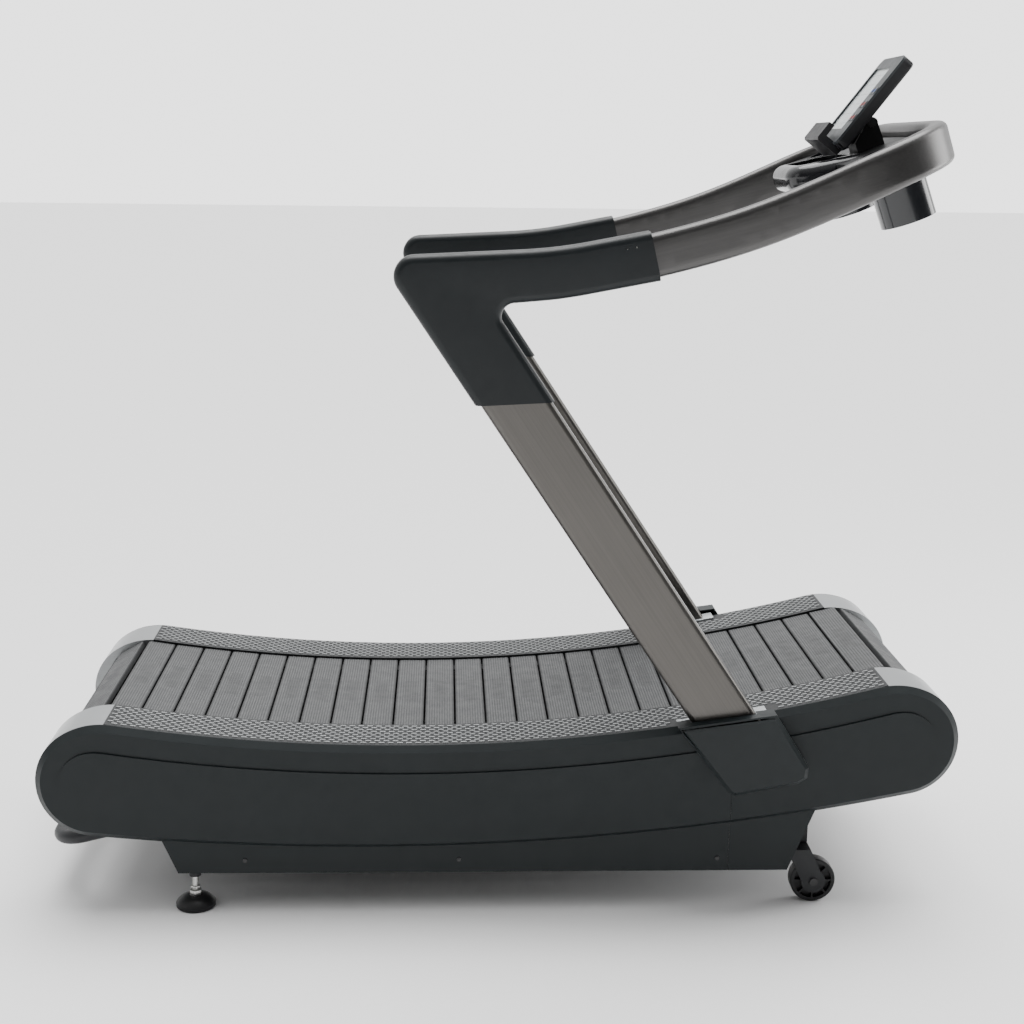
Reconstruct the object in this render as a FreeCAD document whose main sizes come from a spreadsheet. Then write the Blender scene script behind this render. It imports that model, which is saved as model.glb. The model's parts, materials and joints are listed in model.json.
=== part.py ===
"""Curved manual treadmill: slat belt on a concave deck, leaning uprights and a looped handrail.

Millimetres. +X points the way the runner faces, +Z is up, and Y = 0 is the machine's middle
plane. The origin is on the floor under the middle of the covers. "Right" is the runner's
right hand, which is -Y.
"""
import FreeCAD, Part
import math
import os
from FreeCAD import Vector

os.makedirs("parts", exist_ok=True)
doc = FreeCAD.newDocument("CurvedTreadmill")

# ---------------------------------------------------------------- driving dimensions
SIZES = [
    # the running deck: one arc, hollow side up
    ("deck_radius", 3742.5), ("deck_low_x", -188.8), ("deck_low_z", 338.8),
    ("rail_inner_y", 220.0), ("rail_outer_y", 335.0), ("rail_plate", 5.0), ("rail_lip", 16.0),
    ("rear_rail_x", -759.0), ("front_rail_x", 749.0),
    # side covers
    ("cover_length", 1786.0), ("nose_radius", 110.5), ("rear_nose_z", 266.3), ("front_nose_z", 344.4),
    ("rear_shoulder", 140.0), ("front_shoulder", 150.0), ("cover_belly_radius", 5250.0),
    ("cover_depth", 14.0), ("cover_wall", 3.0), ("panel_rise", 4.0), ("panel_inset", 47.0),
    ("panel_top_inset", 53.0), ("panel_belly_inset", 40.0), ("cover_seam_x", 450.0),
    ("seam_gap", 0.6), ("skirt_bottom_z", 78.0), ("skirt_rear_x", -626.0), ("skirt_front_x", 568.0),
    ("skirt_rear_slope", 0.44), ("skirt_front_slope", 0.40), ("skirt_step", 9.0),
    # the belt of slats
    ("belt_drop", 4.0), ("slat_length", 434.0), ("slat_gap", 3.4), ("slat_count", 58),
    ("tread_height", 11.0), ("band_thick", 4.0), ("band_width", 32.0), ("band_y", 195.0),
    ("web_thick", 7.0), ("web_depth", 11.0), ("turn_radius", 100.0), ("slat_phase", 37.0),
    ("rear_tangent_x", -745.0), ("front_tangent_x", 740.0), ("return_radius", 3600.0),
    ("band_gap", 1.2), ("band_end", 62.0), ("fit_gap", 0.3), ("shaft_radius", 15.0), ("running_gap", 0.05),
    # the guide tracks and their rollers
    ("roller_radius", 15.0), ("roller_width", 14.0), ("roller_pitch", 58.0), ("roller_start", 85.0),
    ("track_thick", 6.0), ("track_depth", 34.0),
    # the welded frame
    ("beam_y", 236.0), ("beam_width", 50.0), ("beam_height", 80.0), ("beam_z", 190.0),
    ("beam_reach", 640.0), ("beam_wall", 3.0), ("cross_size", 50.0), ("cross_x", 300.0),
    ("cross_z", 220.0), ("end_plate", 8.0), ("block_radius", 42.0), ("block_thick", 20.0),
    # uprights
    ("upright_lean", 56.2), ("upright_deep", 113.0), ("upright_thick", 50.0),
    ("upright_outer_y", 368.0), ("upright_foot_x", 427.0), ("upright_foot_z", 400.0),
    ("upright_wall", 2.5), ("upright_corner", 12.0), ("upright_top_z", 1190.0),
    ("upright_base_z", 292.0),
    ("base_cover_out", 49.0), ("base_cover_wall", 3.0),
    # elbow covers and handrail bow
    ("elbow_over", 5.0), ("elbow_foot_z", 1004.0), ("elbow_reach", 268.0),
    ("elbow_rear_over", 8.0), ("elbow_front_over", 4.5), ("elbow_wall", 3.5), ("elbow_round", 15.0),
    ("bow_half_width", 344.0), ("bow_corner", 182.0), ("bow_front_x", 824.0),
    ("bow_tall", 79.0), ("bow_thick", 39.0), ("bow_round", 14.0), ("bow_wall", 2.5),
    ("bow_end_x", -120.0), ("bow_end_z", 1234.0), ("bow_back_z", 1239.0), ("bow_grip_z", 1277.5),
    ("bow_mid_z", 1341.3), ("bow_rise_z", 1433.5), ("bow_front_z", 1507.1),
    # console
    ("console_x", 712.0), ("console_z", 1465.0), ("console_tilt", 20.3), ("plate_thick", 10.0),
    ("plate_back", 70.0), ("pod_reach", 163.0), ("pod_tilt", 12.5), ("pod_half_width", 105.0),
    ("pod_thick", 52.0), ("cup_y", 222.0), ("cup_along", 4.0), ("cup_radius", 52.5), ("cup_depth", 135.0),
    ("cup_wall", 3.0), ("monitor_tall", 212.0), ("monitor_wide", 170.0), ("monitor_thick", 26.0),
    ("monitor_lean", 52.4), ("monitor_foot_x", 646.7), ("monitor_foot_z", 1481.3),
    ("bezel_thick", 5.0), ("lens_thick", 2.0), ("key_travel", 1.0), ("key_long", 16.0),
    ("key_wide", 12.0), ("pivot_radius", 6.0),
    ("pivot_along", 37.0), ("pivot_up", 47.0), ("phone_slot", 18.0), ("lip_rise", 28.0),
    # wheels, feet and the lift handle
    ("wheel_x", 626.0), ("wheel_radius", 45.0), ("wheel_width", 28.0), ("wheel_y", 304.0),
    ("wheel_bolt", 5.0), ("fork_plate", 4.0), ("fork_round", 24.0),
    ("foot_x", -597.0), ("foot_y", 316.0), ("pad_radius", 38.5), ("pad_height", 24.0),
    ("stud_radius", 6.5), ("foot_plate_z", 82.0), ("foot_plate", 8.0),
    ("handle_half_width", 261.0), ("handle_tube", 14.0), ("handle_back_x", -879.0),
    ("handle_z", 110.0), ("handle_slope", 14.0), ("handle_corner", 60.0), ("handle_reach", 264.0), ("handle_wall", 2.0),
    ("screw_radius", 4.0),
]
sheet = doc.addObject("Spreadsheet::Sheet", "Sizes")
for row, (alias, value) in enumerate(SIZES, start=1):
    sheet.set(f"A{row}", alias)
    sheet.set(f"B{row}", str(value))
    sheet.setAlias(f"B{row}", alias)
doc.recompute()


def size(alias):
    """One driving dimension, read from the sheet."""
    return float(sheet.get(alias))


# ---------------------------------------------------------------- small helpers
def at(x, z, y=0.0):
    return Vector(x, y, z)


def polar(centre, radius, degrees):
    """The point of the XZ plane at an angle counted from +X towards +Z."""
    turn = math.radians(degrees)
    return at(centre.x + radius * math.cos(turn), centre.z + radius * math.sin(turn))


def heading(a, b):
    """Angle of the line from a to b, counted from +X towards +Z."""
    return math.degrees(math.atan2(b.z - a.z, b.x - a.x))


def arc(centre, radius, start, end):
    middle = 0.5 * (start + end)
    return Part.Arc(polar(centre, radius, start), polar(centre, radius, middle),
                    polar(centre, radius, end)).toShape()


def line(a, b):
    return Part.LineSegment(a, b).toShape()


def slab(edges, y0, y1):
    """A flat outline in the XZ plane, drawn out from y0 to y1."""
    face = Part.Face(Part.Wire(edges))
    face.translate(Vector(0, y0, 0))
    return face.extrude(Vector(0, y1 - y0, 0))


def polygon(points):
    """Straight edges round a list of (x, z) corners."""
    corners = [at(x, z) for x, z in points]
    return [line(a, b) for a, b in zip(corners, corners[1:] + corners[:1])]


def block(x0, x1, y0, y1, z0, z1):
    return Part.makeBox(x1 - x0, y1 - y0, z1 - z0, Vector(x0, y0, z0))


def rod(x, z, radius, y0, y1):
    """A round bar along Y."""
    return Part.makeCylinder(radius, y1 - y0, Vector(x, y0, z), Vector(0, 1, 0))


def post(x, y, radius, z0, z1):
    """A round bar along Z."""
    return Part.makeCylinder(radius, z1 - z0, Vector(x, y, z0))


def band_ring(centre, inner, outer, start, end, y0, y1):
    """Part of a ring round a Y axis, between two angles."""
    edges = [arc(centre, outer, start, end), line(polar(centre, outer, end), polar(centre, inner, end)),
             arc(centre, inner, end, start), line(polar(centre, inner, start), polar(centre, outer, start))]
    return slab(edges, y0, y1)


def left(shape):
    """The same piece on the other side of the machine."""
    return shape.mirror(Vector(0, 0, 0), Vector(0, 1, 0))


def both(shape):
    return [shape, left(shape)]


def add(label, shapes, place=None):
    """A sub-part made by code: one shape, or a list of separate solids, and where it sits."""
    feature = doc.addObject("Part::Feature", label)
    feature.Label = label
    solids = shapes if isinstance(shapes, list) else [shapes]
    feature.Shape = solids[0] if len(solids) == 1 else Part.makeCompound(solids)
    feature.Placement = place or FreeCAD.Placement()
    parts.append(feature)
    return feature


parts = []

# ---------------------------------------------------------------- the machine's curves
R_DECK = size("deck_radius")
DECK = at(size("deck_low_x"), size("deck_low_z") + R_DECK)
R_NOSE = size("nose_radius")
REAR_NOSE = at(R_NOSE - size("cover_length") / 2, size("rear_nose_z"))
FRONT_NOSE = at(size("cover_length") / 2 - R_NOSE, size("front_nose_z"))


def meeting(a, ra, b, rb, side):
    """Where two circles of the XZ plane meet; side +1 takes the point left of a -> b."""
    gap = a.distanceToPoint(b)
    along = (ra * ra - rb * rb + gap * gap) / (2 * gap)
    off = math.sqrt(ra * ra - along * along) * side
    ux, uz = (b.x - a.x) / gap, (b.z - a.z) / gap
    return at(a.x + along * ux - off * uz, a.z + along * uz + off * ux)


def cover_edges(top_inset, nose_inset, belly_inset):
    """Closed outline of the side cover: deck arc, shoulders, noses and belly, each inset."""
    deck_r = R_DECK + top_inset
    nose_r = R_NOSE - nose_inset
    belly_r = size("cover_belly_radius") - belly_inset
    shoulders = []
    for nose, radius, side in ((REAR_NOSE, size("rear_shoulder"), 1), (FRONT_NOSE, size("front_shoulder"), -1)):
        big = max(radius - nose_inset, nose_r + 2.0)
        shoulders.append((meeting(DECK, deck_r + big, nose, big - nose_r, side), big))
    belly = meeting(REAR_NOSE, belly_r - nose_r, FRONT_NOSE, belly_r - nose_r, 1)
    (rear, rear_r), (front, front_r) = shoulders
    deck_0, deck_1 = heading(DECK, rear), heading(DECK, front)
    rear_0, rear_1 = heading(rear, DECK), heading(rear, REAR_NOSE) % 360
    belly_0, belly_1 = heading(belly, REAR_NOSE) % 360, heading(belly, FRONT_NOSE) % 360
    front_0, front_1 = heading(front, FRONT_NOSE), heading(front, DECK)
    return [
        arc(DECK, deck_r, deck_0, deck_1), arc(front, front_r, front_1, front_0),
        arc(FRONT_NOSE, R_NOSE - nose_inset, front_0, belly_1 - 360),
        arc(belly, belly_r, belly_1, belly_0), arc(REAR_NOSE, nose_r, belly_0, rear_1),
        arc(rear, rear_r, rear_1, rear_0),
    ]


def deck_z(x, drop):
    """Height of the deck arc, lowered by drop, above a point of the floor."""
    return DECK.z - math.sqrt((R_DECK + drop) ** 2 - (x - DECK.x) ** 2)


# ---------------------------------------------------------------- the belt's closed path
DROP = size("belt_drop")
TREAD = size("tread_height")
HALF_BAND = size("band_thick") / 2
NEUTRAL = TREAD + HALF_BAND
R_TURN = size("turn_radius")
R_BACK = size("return_radius")


def drum_centre(tangent_x):
    surface = at(tangent_x, deck_z(tangent_x, DROP))
    return polar(surface, R_TURN, heading(DECK, surface))


REAR_DRUM = drum_centre(size("rear_tangent_x"))
FRONT_DRUM = drum_centre(size("front_tangent_x"))
RETURN = meeting(REAR_DRUM, R_BACK - R_TURN, FRONT_DRUM, R_BACK - R_TURN, 1)
DECK_REAR, DECK_FRONT = heading(DECK, REAR_DRUM), heading(DECK, FRONT_DRUM)
BACK_REAR, BACK_FRONT = heading(RETURN, REAR_DRUM) % 360, heading(RETURN, FRONT_DRUM) % 360

# Each run: name, centre, radius of the band's middle, angle where it starts and where it ends,
# and +1 where the slats stand outwards from the centre, -1 where they stand inwards.
RUNS = [
    ("top", DECK, R_DECK + DROP + NEUTRAL, DECK_REAR % 360, DECK_FRONT % 360, -1),
    ("front", FRONT_DRUM, R_TURN - NEUTRAL, DECK_FRONT % 360 - 180, BACK_FRONT - 360, 1),
    ("return", RETURN, R_BACK - NEUTRAL, BACK_FRONT, BACK_REAR, 1),
    ("rear", REAR_DRUM, R_TURN - NEUTRAL, BACK_REAR, DECK_REAR % 360 - 180, 1),
]


def run_length(run):
    return math.radians(abs(run[4] - run[3])) * run[2]


LOOP = sum(run_length(run) for run in RUNS)
PITCH = LOOP / size("slat_count")
SLAT_WIDE = PITCH * (R_DECK + DROP) / (R_DECK + DROP + NEUTRAL) - size("slat_gap")


def slat():
    """One slat lying flat at the origin: a tread plate with a stiffening web under it."""
    half, corner, web = SLAT_WIDE / 2, 1.5, size("web_thick") / 2
    inner = HALF_BAND + size("fit_gap") / 2
    plate = polygon([(-half, inner), (half, inner), (half, NEUTRAL - corner), (half - corner, NEUTRAL),
                     (corner - half, NEUTRAL), (-half, NEUTRAL - corner)])
    tread = slab(plate, -size("slat_length") / 2, size("slat_length") / 2)
    web_y = size("band_y") - size("band_width") / 2 - 12
    rib = block(-web, web, -web_y, web_y, HALF_BAND - size("web_depth"), inner + 1)
    return tread.fuse(rib).removeSplitter()


def belt_slats():
    """Every slat of the loop, sorted by the run that its middle is on."""
    groups = {run[0]: [] for run in RUNS}
    plain = slat()
    for number in range(int(size("slat_count"))):
        travelled = (size("slat_phase") + (number + 0.5) * PITCH) % LOOP
        for name, centre, radius, start, end, outward in RUNS:
            length = math.radians(abs(end - start)) * radius
            if travelled <= length:
                angle = start + (end - start) * travelled / length
                place = polar(centre, radius, angle)
                tilt = angle - 90 if outward > 0 else angle + 90
                piece = plain.copy()
                piece.rotate(Vector(0, 0, 0), Vector(0, 1, 0), -tilt)
                piece.translate(place)
                groups[name].append(piece)
                break
            travelled -= length
    return groups


def belt_bands(run):
    """The pair of rubber bands that carry one run's slats, short at each end.

    The long runs stop a slat short of the drums, where the next run's slats swing through.
    """
    _, centre, radius, start, end, _ = run
    short = size("band_end") if run[0] in ("top", "return") else size("band_gap")
    trim = math.degrees(short / radius) * (1 if end > start else -1)
    y0 = -size("band_y") - size("band_width") / 2
    ring = band_ring(centre, radius - HALF_BAND, radius + HALF_BAND, start + trim, end - trim,
                     y0, y0 + size("band_width"))
    return both(ring)


slats = belt_slats()
for run in RUNS:
    add("slats_" + run[0], slats[run[0]])
    add("bands_" + run[0], belt_bands(run))

# ---------------------------------------------------------------- drums
def cylinder_y(label, x, z, radius, y0, length):
    """A round bar along Y as a document cylinder whose sizes are sheet formulas."""
    bar = doc.addObject("Part::Cylinder", label)
    bar.Label = label
    bar.setExpression("Radius", radius)
    bar.setExpression("Height", length)
    bar.Placement = FreeCAD.Placement(Vector(x, y0, z), FreeCAD.Rotation(Vector(1, 0, 0), -90))
    return bar


PLATE_Y = size("beam_y") - size("end_plate")
SHAFT_END = size("beam_y") + size("block_thick") + 4
for end, drum in (("front", FRONT_DRUM), ("rear", REAR_DRUM)):
    shaft = cylinder_y(end + "_shaft", drum.x, drum.z, "Sizes.shaft_radius", -SHAFT_END,
                       "2 * (Sizes.beam_y + Sizes.block_thick + 4)")
    parts.append(shaft)
    rim = R_TURN - NEUTRAL - HALF_BAND - size("fit_gap")
    y0 = size("band_y") - size("band_width") / 2
    wheel = rod(drum.x, drum.z, rim, y0, y0 + size("band_width"))
    dish = rod(drum.x, drum.z, rim - 8, y0, y0 + size("band_width") - 8)
    hub = rod(drum.x, drum.z, size("shaft_radius") + 12, y0, y0 + size("band_width"))
    bore = rod(drum.x, drum.z, size("shaft_radius"), y0 - 1, y0 + size("band_width") + 1)
    add(end + "_pulleys", both(wheel.cut(dish).fuse(hub).cut(bore)))

# ---------------------------------------------------------------- welded frame
BEAM_OUT = size("beam_y") + size("beam_width")
BEAM_TOP = size("beam_z") + size("beam_height")


def tube_x(x0, x1, y0, y1, z0, z1, wall):
    """A square tube along X."""
    return block(x0, x1, y0, y1, z0, z1).cut(
        block(x0 - 1, x1 + 1, y0 + wall, y1 - wall, z0 + wall, z1 - wall))


def end_plate(drum, sign):
    """The plate that carries a drum's bearing out beyond the beam's end."""
    reach = size("beam_reach")
    tip = size("block_radius")
    low = [(sign * (reach - 120), size("beam_z")), (sign * (reach - 120), BEAM_TOP)]
    corners = low + [(drum.x, drum.z + tip), (drum.x + sign * tip, drum.z + tip * 0.5),
                     (drum.x + sign * tip, drum.z - tip * 0.5), (drum.x, drum.z - tip)]
    plate = slab(polygon(corners), PLATE_Y, size("beam_y"))
    hole = rod(drum.x, drum.z, size("shaft_radius") + 3, PLATE_Y - 1, size("beam_y") + 1)
    return plate.cut(hole)


def frame_side():
    """Left side of the welded frame: beam, drum plates, upright arms and foot bracket."""
    y0 = size("beam_y")
    beam = tube_x(-size("beam_reach"), size("beam_reach"), y0, BEAM_OUT, size("beam_z"), BEAM_TOP,
                  size("beam_wall"))
    body = beam.fuse([end_plate(REAR_DRUM, -1), end_plate(FRONT_DRUM, 1)])
    arm_x = size("upright_foot_x") + 40
    arm = block(arm_x - 20, arm_x + 40, BEAM_OUT - 2, UPRIGHT_IN, BEAM_TOP - 36, size("upright_base_z") + 50)
    plate_top = size("foot_plate_z") + size("foot_plate")
    foot = block(size("foot_x") - 32, size("foot_x") + 32, y0, size("foot_y") + 14,
                 size("foot_plate_z"), plate_top)
    leg = tube_x(size("foot_x") - 25, size("foot_x") + 25, y0, BEAM_OUT, plate_top - 1,
                 size("beam_z") + 1, size("beam_wall"))
    boss = post(size("foot_x"), size("foot_y"), 11.5, size("foot_plate_z") - 18, size("foot_plate_z") + 1)
    bore = post(size("foot_x"), size("foot_y"), size("stud_radius") + size("running_gap"), 0, BEAM_TOP)
    fork_top = size("wheel_x") - 24
    stem = tube_x(fork_top - 30, fork_top + 16, BEAM_OUT - 40, BEAM_OUT, FORK_TOP, size("beam_z") + 1,
                  size("beam_wall"))
    body = body.fuse([arm, foot, leg, boss, stem] + [track_post(x) for x in TRACK_POSTS]).cut(bore)
    return body.removeSplitter()


UPRIGHT_IN = size("upright_outer_y") - size("upright_thick")
FORK_TOP = size("wheel_radius") + size("wheel_radius") + 22
TRACK_IN = size("band_y") + size("roller_width") / 2 + 2
TRACK_R = R_DECK + DROP + NEUTRAL + HALF_BAND + size("fit_gap") + size("roller_radius")
TRACK_POSTS = [-480, -160, 160, 480]


def track_post(x):
    """An angle that ties the guide track to the beam."""
    z = DECK.z - math.sqrt(TRACK_R ** 2 - (x - DECK.x) ** 2)
    foot = min(size("beam_z") + 20, z - 40)
    upright = block(x - 16, x + 16, TRACK_IN + size("track_thick"), TRACK_IN + size("track_thick") + 5,
                    foot, z)
    shelf = block(x - 16, x + 16, TRACK_IN + size("track_thick"), size("beam_y") + 1, foot, foot + 6)
    return upright.fuse(shelf)


def cross_member(x):
    """A square tube from beam to beam, between the deck run and the return run."""
    half, low, wall = size("cross_size") / 2, size("cross_z"), size("beam_wall")
    reach = size("beam_y") + 1
    whole = block(x - half, x + half, -reach, reach, low, low + 2 * half)
    return whole.cut(block(x - half + wall, x + half - wall, -reach - 1, reach + 1, low + wall,
                           low + 2 * half - wall))


side = frame_side()
add("base_frame", side.fuse([left(side)] + [cross_member(size("cross_x") * k) for k in (-1, 0, 1)]))

# Guide tracks: curved flats under the slat ends, each with a row of rollers on stub pins.
roller_0 = heading(DECK, REAR_DRUM) + math.degrees(size("roller_start") / TRACK_R)
roller_1 = heading(DECK, FRONT_DRUM) - math.degrees(size("roller_start") / TRACK_R)
track = band_ring(DECK, TRACK_R - 6, TRACK_R - 6 + size("track_depth"), roller_0, roller_1,
                  TRACK_IN, TRACK_IN + size("track_thick"))
roller_count = int(math.radians(roller_1 - roller_0) * TRACK_R / size("roller_pitch"))
rollers, pins = [], []
for number in range(roller_count):
    angle = roller_0 + (roller_1 - roller_0) * (number + 0.5) / roller_count
    hub = polar(DECK, TRACK_R, angle)
    y0 = size("band_y") - size("roller_width") / 2
    roller = rod(hub.x, hub.z, size("roller_radius"), y0, y0 + size("roller_width"))
    rollers.append(roller.cut(rod(hub.x, hub.z, 4.0, y0 - 1, y0 + size("roller_width") + 1)))
    pins.append(rod(hub.x, hub.z, 4.0, y0 - 2, TRACK_IN + 1))
add("guide_tracks", both(track.fuse(pins)))
add("guide_rollers", rollers + [left(roller) for roller in rollers])

blocks = []
for drum in (FRONT_DRUM, REAR_DRUM):
    housing = rod(drum.x, drum.z, size("block_radius"), size("beam_y"),
                  size("beam_y") + size("block_thick"))
    seat = rod(drum.x, drum.z, size("shaft_radius") + size("running_gap"), size("beam_y") - 1,
               size("beam_y") + size("block_thick") + 1)
    blocks += both(housing.cut(seat))
add("bearing_blocks", blocks)

# ---------------------------------------------------------------- uprights
LEAN = math.radians(size("upright_lean"))
DEEP = size("upright_deep")


def leaning(along, across):
    """A point of the upright: along its length from the foot, and forward across its depth."""
    x = size("upright_foot_x") - along * math.cos(LEAN) + across * math.sin(LEAN)
    z = size("upright_foot_z") + along * math.sin(LEAN) + across * math.cos(LEAN)
    return x, z


def leaning_box(low, high, across_0, across_1, y0, y1):
    return slab(polygon([leaning(low, across_0), leaning(low, across_1), leaning(high, across_1),
                         leaning(high, across_0)]), y0, y1)


def round_long_edges(shape, radius, along):
    """Fillet the edges that run the same way as a direction."""
    def runs_along(edge):
        return edge.Length > 40 and edge.tangentAt(edge.FirstParameter).cross(along).Length < 0.01
    chosen = [edge for edge in shape.Edges if runs_along(edge)]
    return shape.makeFillet(radius, chosen)


def upright():
    """One leaning rectangular tube, cut level at its foot and under the handrail."""
    along = Vector(-math.cos(LEAN), 0, math.sin(LEAN))
    y1, wall = size("upright_outer_y"), size("upright_wall")
    outer = leaning_box(-320, 1100, -DEEP / 2, DEEP / 2, UPRIGHT_IN, y1)
    outer = round_long_edges(outer, size("upright_corner"), along)
    inner = leaning_box(-330, 1110, wall - DEEP / 2, DEEP / 2 - wall, UPRIGHT_IN + wall, y1 - wall)
    inner = round_long_edges(inner, size("upright_corner") - wall, along)
    keep = block(-900, 900, 0, 500, size("upright_base_z"), size("upright_top_z"))
    return outer.cut(inner).common(keep)


post_left = upright()
add("upright_left", post_left)
add("upright_right", left(post_left))
# Room that the covers and rails leave round the upright.
UPRIGHT_ROOM = leaning_box(-330, 400, -DEEP / 2 - 1, DEEP / 2 + 1, UPRIGHT_IN - 1,
                           size("upright_outer_y") + 1)
UPRIGHT_ROOM = UPRIGHT_ROOM.common(block(0, 900, 0, 500, size("upright_base_z") - 2, 900))

# ---------------------------------------------------------------- side covers
OUT_Y = size("rail_outer_y")
SHELL_Y = OUT_Y + size("cover_depth")


def skirt_edges(inset, top_drop):
    """The skirt under the cover's belly, with slanting ends."""
    low, high = size("skirt_bottom_z") + inset, size("skirt_bottom_z") + top_drop
    rise = high - size("skirt_bottom_z")
    rear, front = size("skirt_rear_x") + inset, size("skirt_front_x") - inset
    return polygon([(rear, low), (front, low), (front + rise * size("skirt_front_slope"), high),
                    (rear - rise * size("skirt_rear_slope"), high)])


def side_cover():
    """The left side's whole moulding, before it is split at its seam."""
    shell = slab(cover_edges(0, 0, 0), OUT_Y, SHELL_Y)
    rim = [edge for edge in shell.Edges if edge.BoundBox.YMin > SHELL_Y - 0.01]
    shell = shell.makeChamfer(size("cover_depth") - 2, rim)
    wall = size("cover_wall")
    hollow = slab(cover_edges(wall + 12, wall + 12, wall + 12), OUT_Y - 1, SHELL_Y - wall)
    panel = slab(cover_edges(size("panel_top_inset"), size("panel_inset"), size("panel_belly_inset")),
                 SHELL_Y - 1, SHELL_Y + size("panel_rise"))
    skirt = slab(skirt_edges(0, 130), OUT_Y, OUT_Y + size("cover_depth") - size("skirt_step"))
    skirt = skirt.cut(slab(skirt_edges(wall, 122), OUT_Y - 1,
                           OUT_Y + size("cover_depth") - size("skirt_step") - wall))
    skirt = skirt.cut(slab(cover_edges(6, 6, 6), OUT_Y - 5, SHELL_Y + 9))
    moulding = shell.cut(hollow).fuse(panel).fuse(skirt)
    return moulding.cut(UPRIGHT_ROOM)


skirt_face = OUT_Y + size("cover_depth") - size("skirt_step")
screw_spots = [(size("skirt_rear_x") + 130, skirt_face, 104), (-80, skirt_face, 104),
               (size("cover_seam_x") - 22, skirt_face, 104)]
moulding = side_cover()
for x, y, z in screw_spots:
    moulding = moulding.cut(rod(x, z, size("screw_radius") / 2 + size("running_gap"), y - 9, y + 1))
seam = size("cover_seam_x")
gap = size("seam_gap") / 2
rear_half = moulding.common(block(-1000, seam - gap, 300, 400, 0, 600))
front_half = moulding.common(block(seam + gap, 1000, 300, 400, 0, 600))


def largest(shape):
    """The main solid of a cut, without the crumbs that a cut-out may leave."""
    return max(shape.Solids, key=lambda solid: solid.Volume)


rear_half, front_half = largest(rear_half), largest(front_half)
add("rear_cover_left", rear_half)
add("rear_cover_right", left(rear_half))
add("front_cover_left", front_half)
add("front_cover_right", left(front_half))

# ---------------------------------------------------------------- foot rails and end caps
RAIL_ENDS = [math.degrees(math.asin((size(name) - DECK.x) / R_DECK)) - 90
             for name in ("rear_rail_x", "front_rail_x")]


def foot_rail():
    """The step beside the belt: a curved plate with a lip turned down next to the slats."""
    inner, outer, plate = size("rail_inner_y"), OUT_Y - 0.5, size("rail_plate")
    start, end = RAIL_ENDS
    top = band_ring(DECK, R_DECK, R_DECK + plate, start, end, inner, outer)
    lip = band_ring(DECK, R_DECK, R_DECK + size("rail_lip"), start, end, inner, inner + plate)
    rail = top.fuse(lip).cut(UPRIGHT_ROOM)
    return largest(rail)


def end_cap(front):
    """The smooth cap that carries the rail round its drum down to the belly."""
    inner, outer, plate = size("rail_inner_y"), OUT_Y - 0.5, size("rail_plate")
    skin = slab(cover_edges(0, 0, 0), inner, outer).cut(
        slab(cover_edges(plate, plate, plate), inner + plate, outer + 1))
    skin = skin.cut(slab(cover_edges(34, 34, 34), inner - 1, inner + plate + 1))
    gap = math.degrees(size("seam_gap") / R_DECK)
    skin = skin.cut(band_ring(DECK, R_DECK - 90, R_DECK + 400, RAIL_ENDS[0] - gap, RAIL_ENDS[1] + gap, 0, 400))
    if front:
        return largest(skin.common(block(600, 1000, 0, 400, 0, 600)))
    notch = block(-900, -600, size("handle_half_width") - 18, size("handle_half_width") + 18, 0,
                  size("handle_z") + 80)
    return largest(skin.common(block(-1000, -600, 0, 400, 0, 600)).cut(notch))


rail = foot_rail()
add("foot_rail_left", rail)
add("foot_rail_right", left(rail))
for end in ("front", "rear"):
    cap = end_cap(end == "front")
    add(end + "_cap_left", cap)
    add(end + "_cap_right", left(cap))

# ---------------------------------------------------------------- upright base covers
def base_cover():
    """The raised trapezoid cover that wraps the upright's foot, with a level rim round it."""
    out, wall = size("base_cover_out"), size("base_cover_wall")
    top_rear = (size("upright_foot_x") - 92, deck_z(size("upright_foot_x") - 92, 0) + 16)
    top_front = (size("upright_foot_x") + 96, deck_z(size("upright_foot_x") + 96, 0) + 10)
    corners = [top_rear, (size("upright_foot_x") + 8, 262), (size("upright_foot_x") + 22, 255),
               (size("upright_foot_x") + 142, 278), (size("upright_foot_x") + 160, 290),
               (size("upright_foot_x") + 162, 312), top_front]
    y0, y1 = SHELL_Y + size("panel_rise") + 0.3, SHELL_Y + out
    shell = slab(polygon(corners), y0, y1)
    rim = [edge for edge in shell.Edges if edge.BoundBox.YMin > y1 - 0.01]
    shell = shell.makeChamfer(8, rim)
    cavity = [(x + (3 if x < size("upright_foot_x") + 50 else -4) * wall / 2, z)
              for x, z in corners]
    hollow = slab(polygon([(x, z + 3 * wall if z < 300 else z - wall) for x, z in cavity]),
                  y0 - 1, y1 - wall)
    return largest(shell.cut(hollow).cut(UPRIGHT_ROOM))


base = base_cover()
add("upright_base_cover_left", base)
add("upright_base_cover_right", left(base))

# ---------------------------------------------------------------- handrail bow
def bow_profile():
    """Height of the bow's middle line above each X, as one smooth curve."""
    knots = [(size("bow_end_x"), size("bow_end_z")), (60, size("bow_back_z")), (270, size("bow_grip_z")),
             (480, size("bow_mid_z")), (690, size("bow_rise_z")), (900, size("bow_front_z"))]
    curve = Part.BSplineCurve()
    curve.interpolate([at(x, z) for x, z in knots])
    return curve


BOW = bow_profile()


def bow_point(x):
    """Point and slope of the bow's middle line at X."""
    low, high = BOW.FirstParameter, BOW.LastParameter
    for _ in range(50):
        middle = 0.5 * (low + high)
        if BOW.value(middle).x < x:
            low = middle
        else:
            high = middle
    slope = BOW.tangent(low)[0]
    return BOW.value(low), Vector(slope.x, 0, slope.z).normalize()


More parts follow.
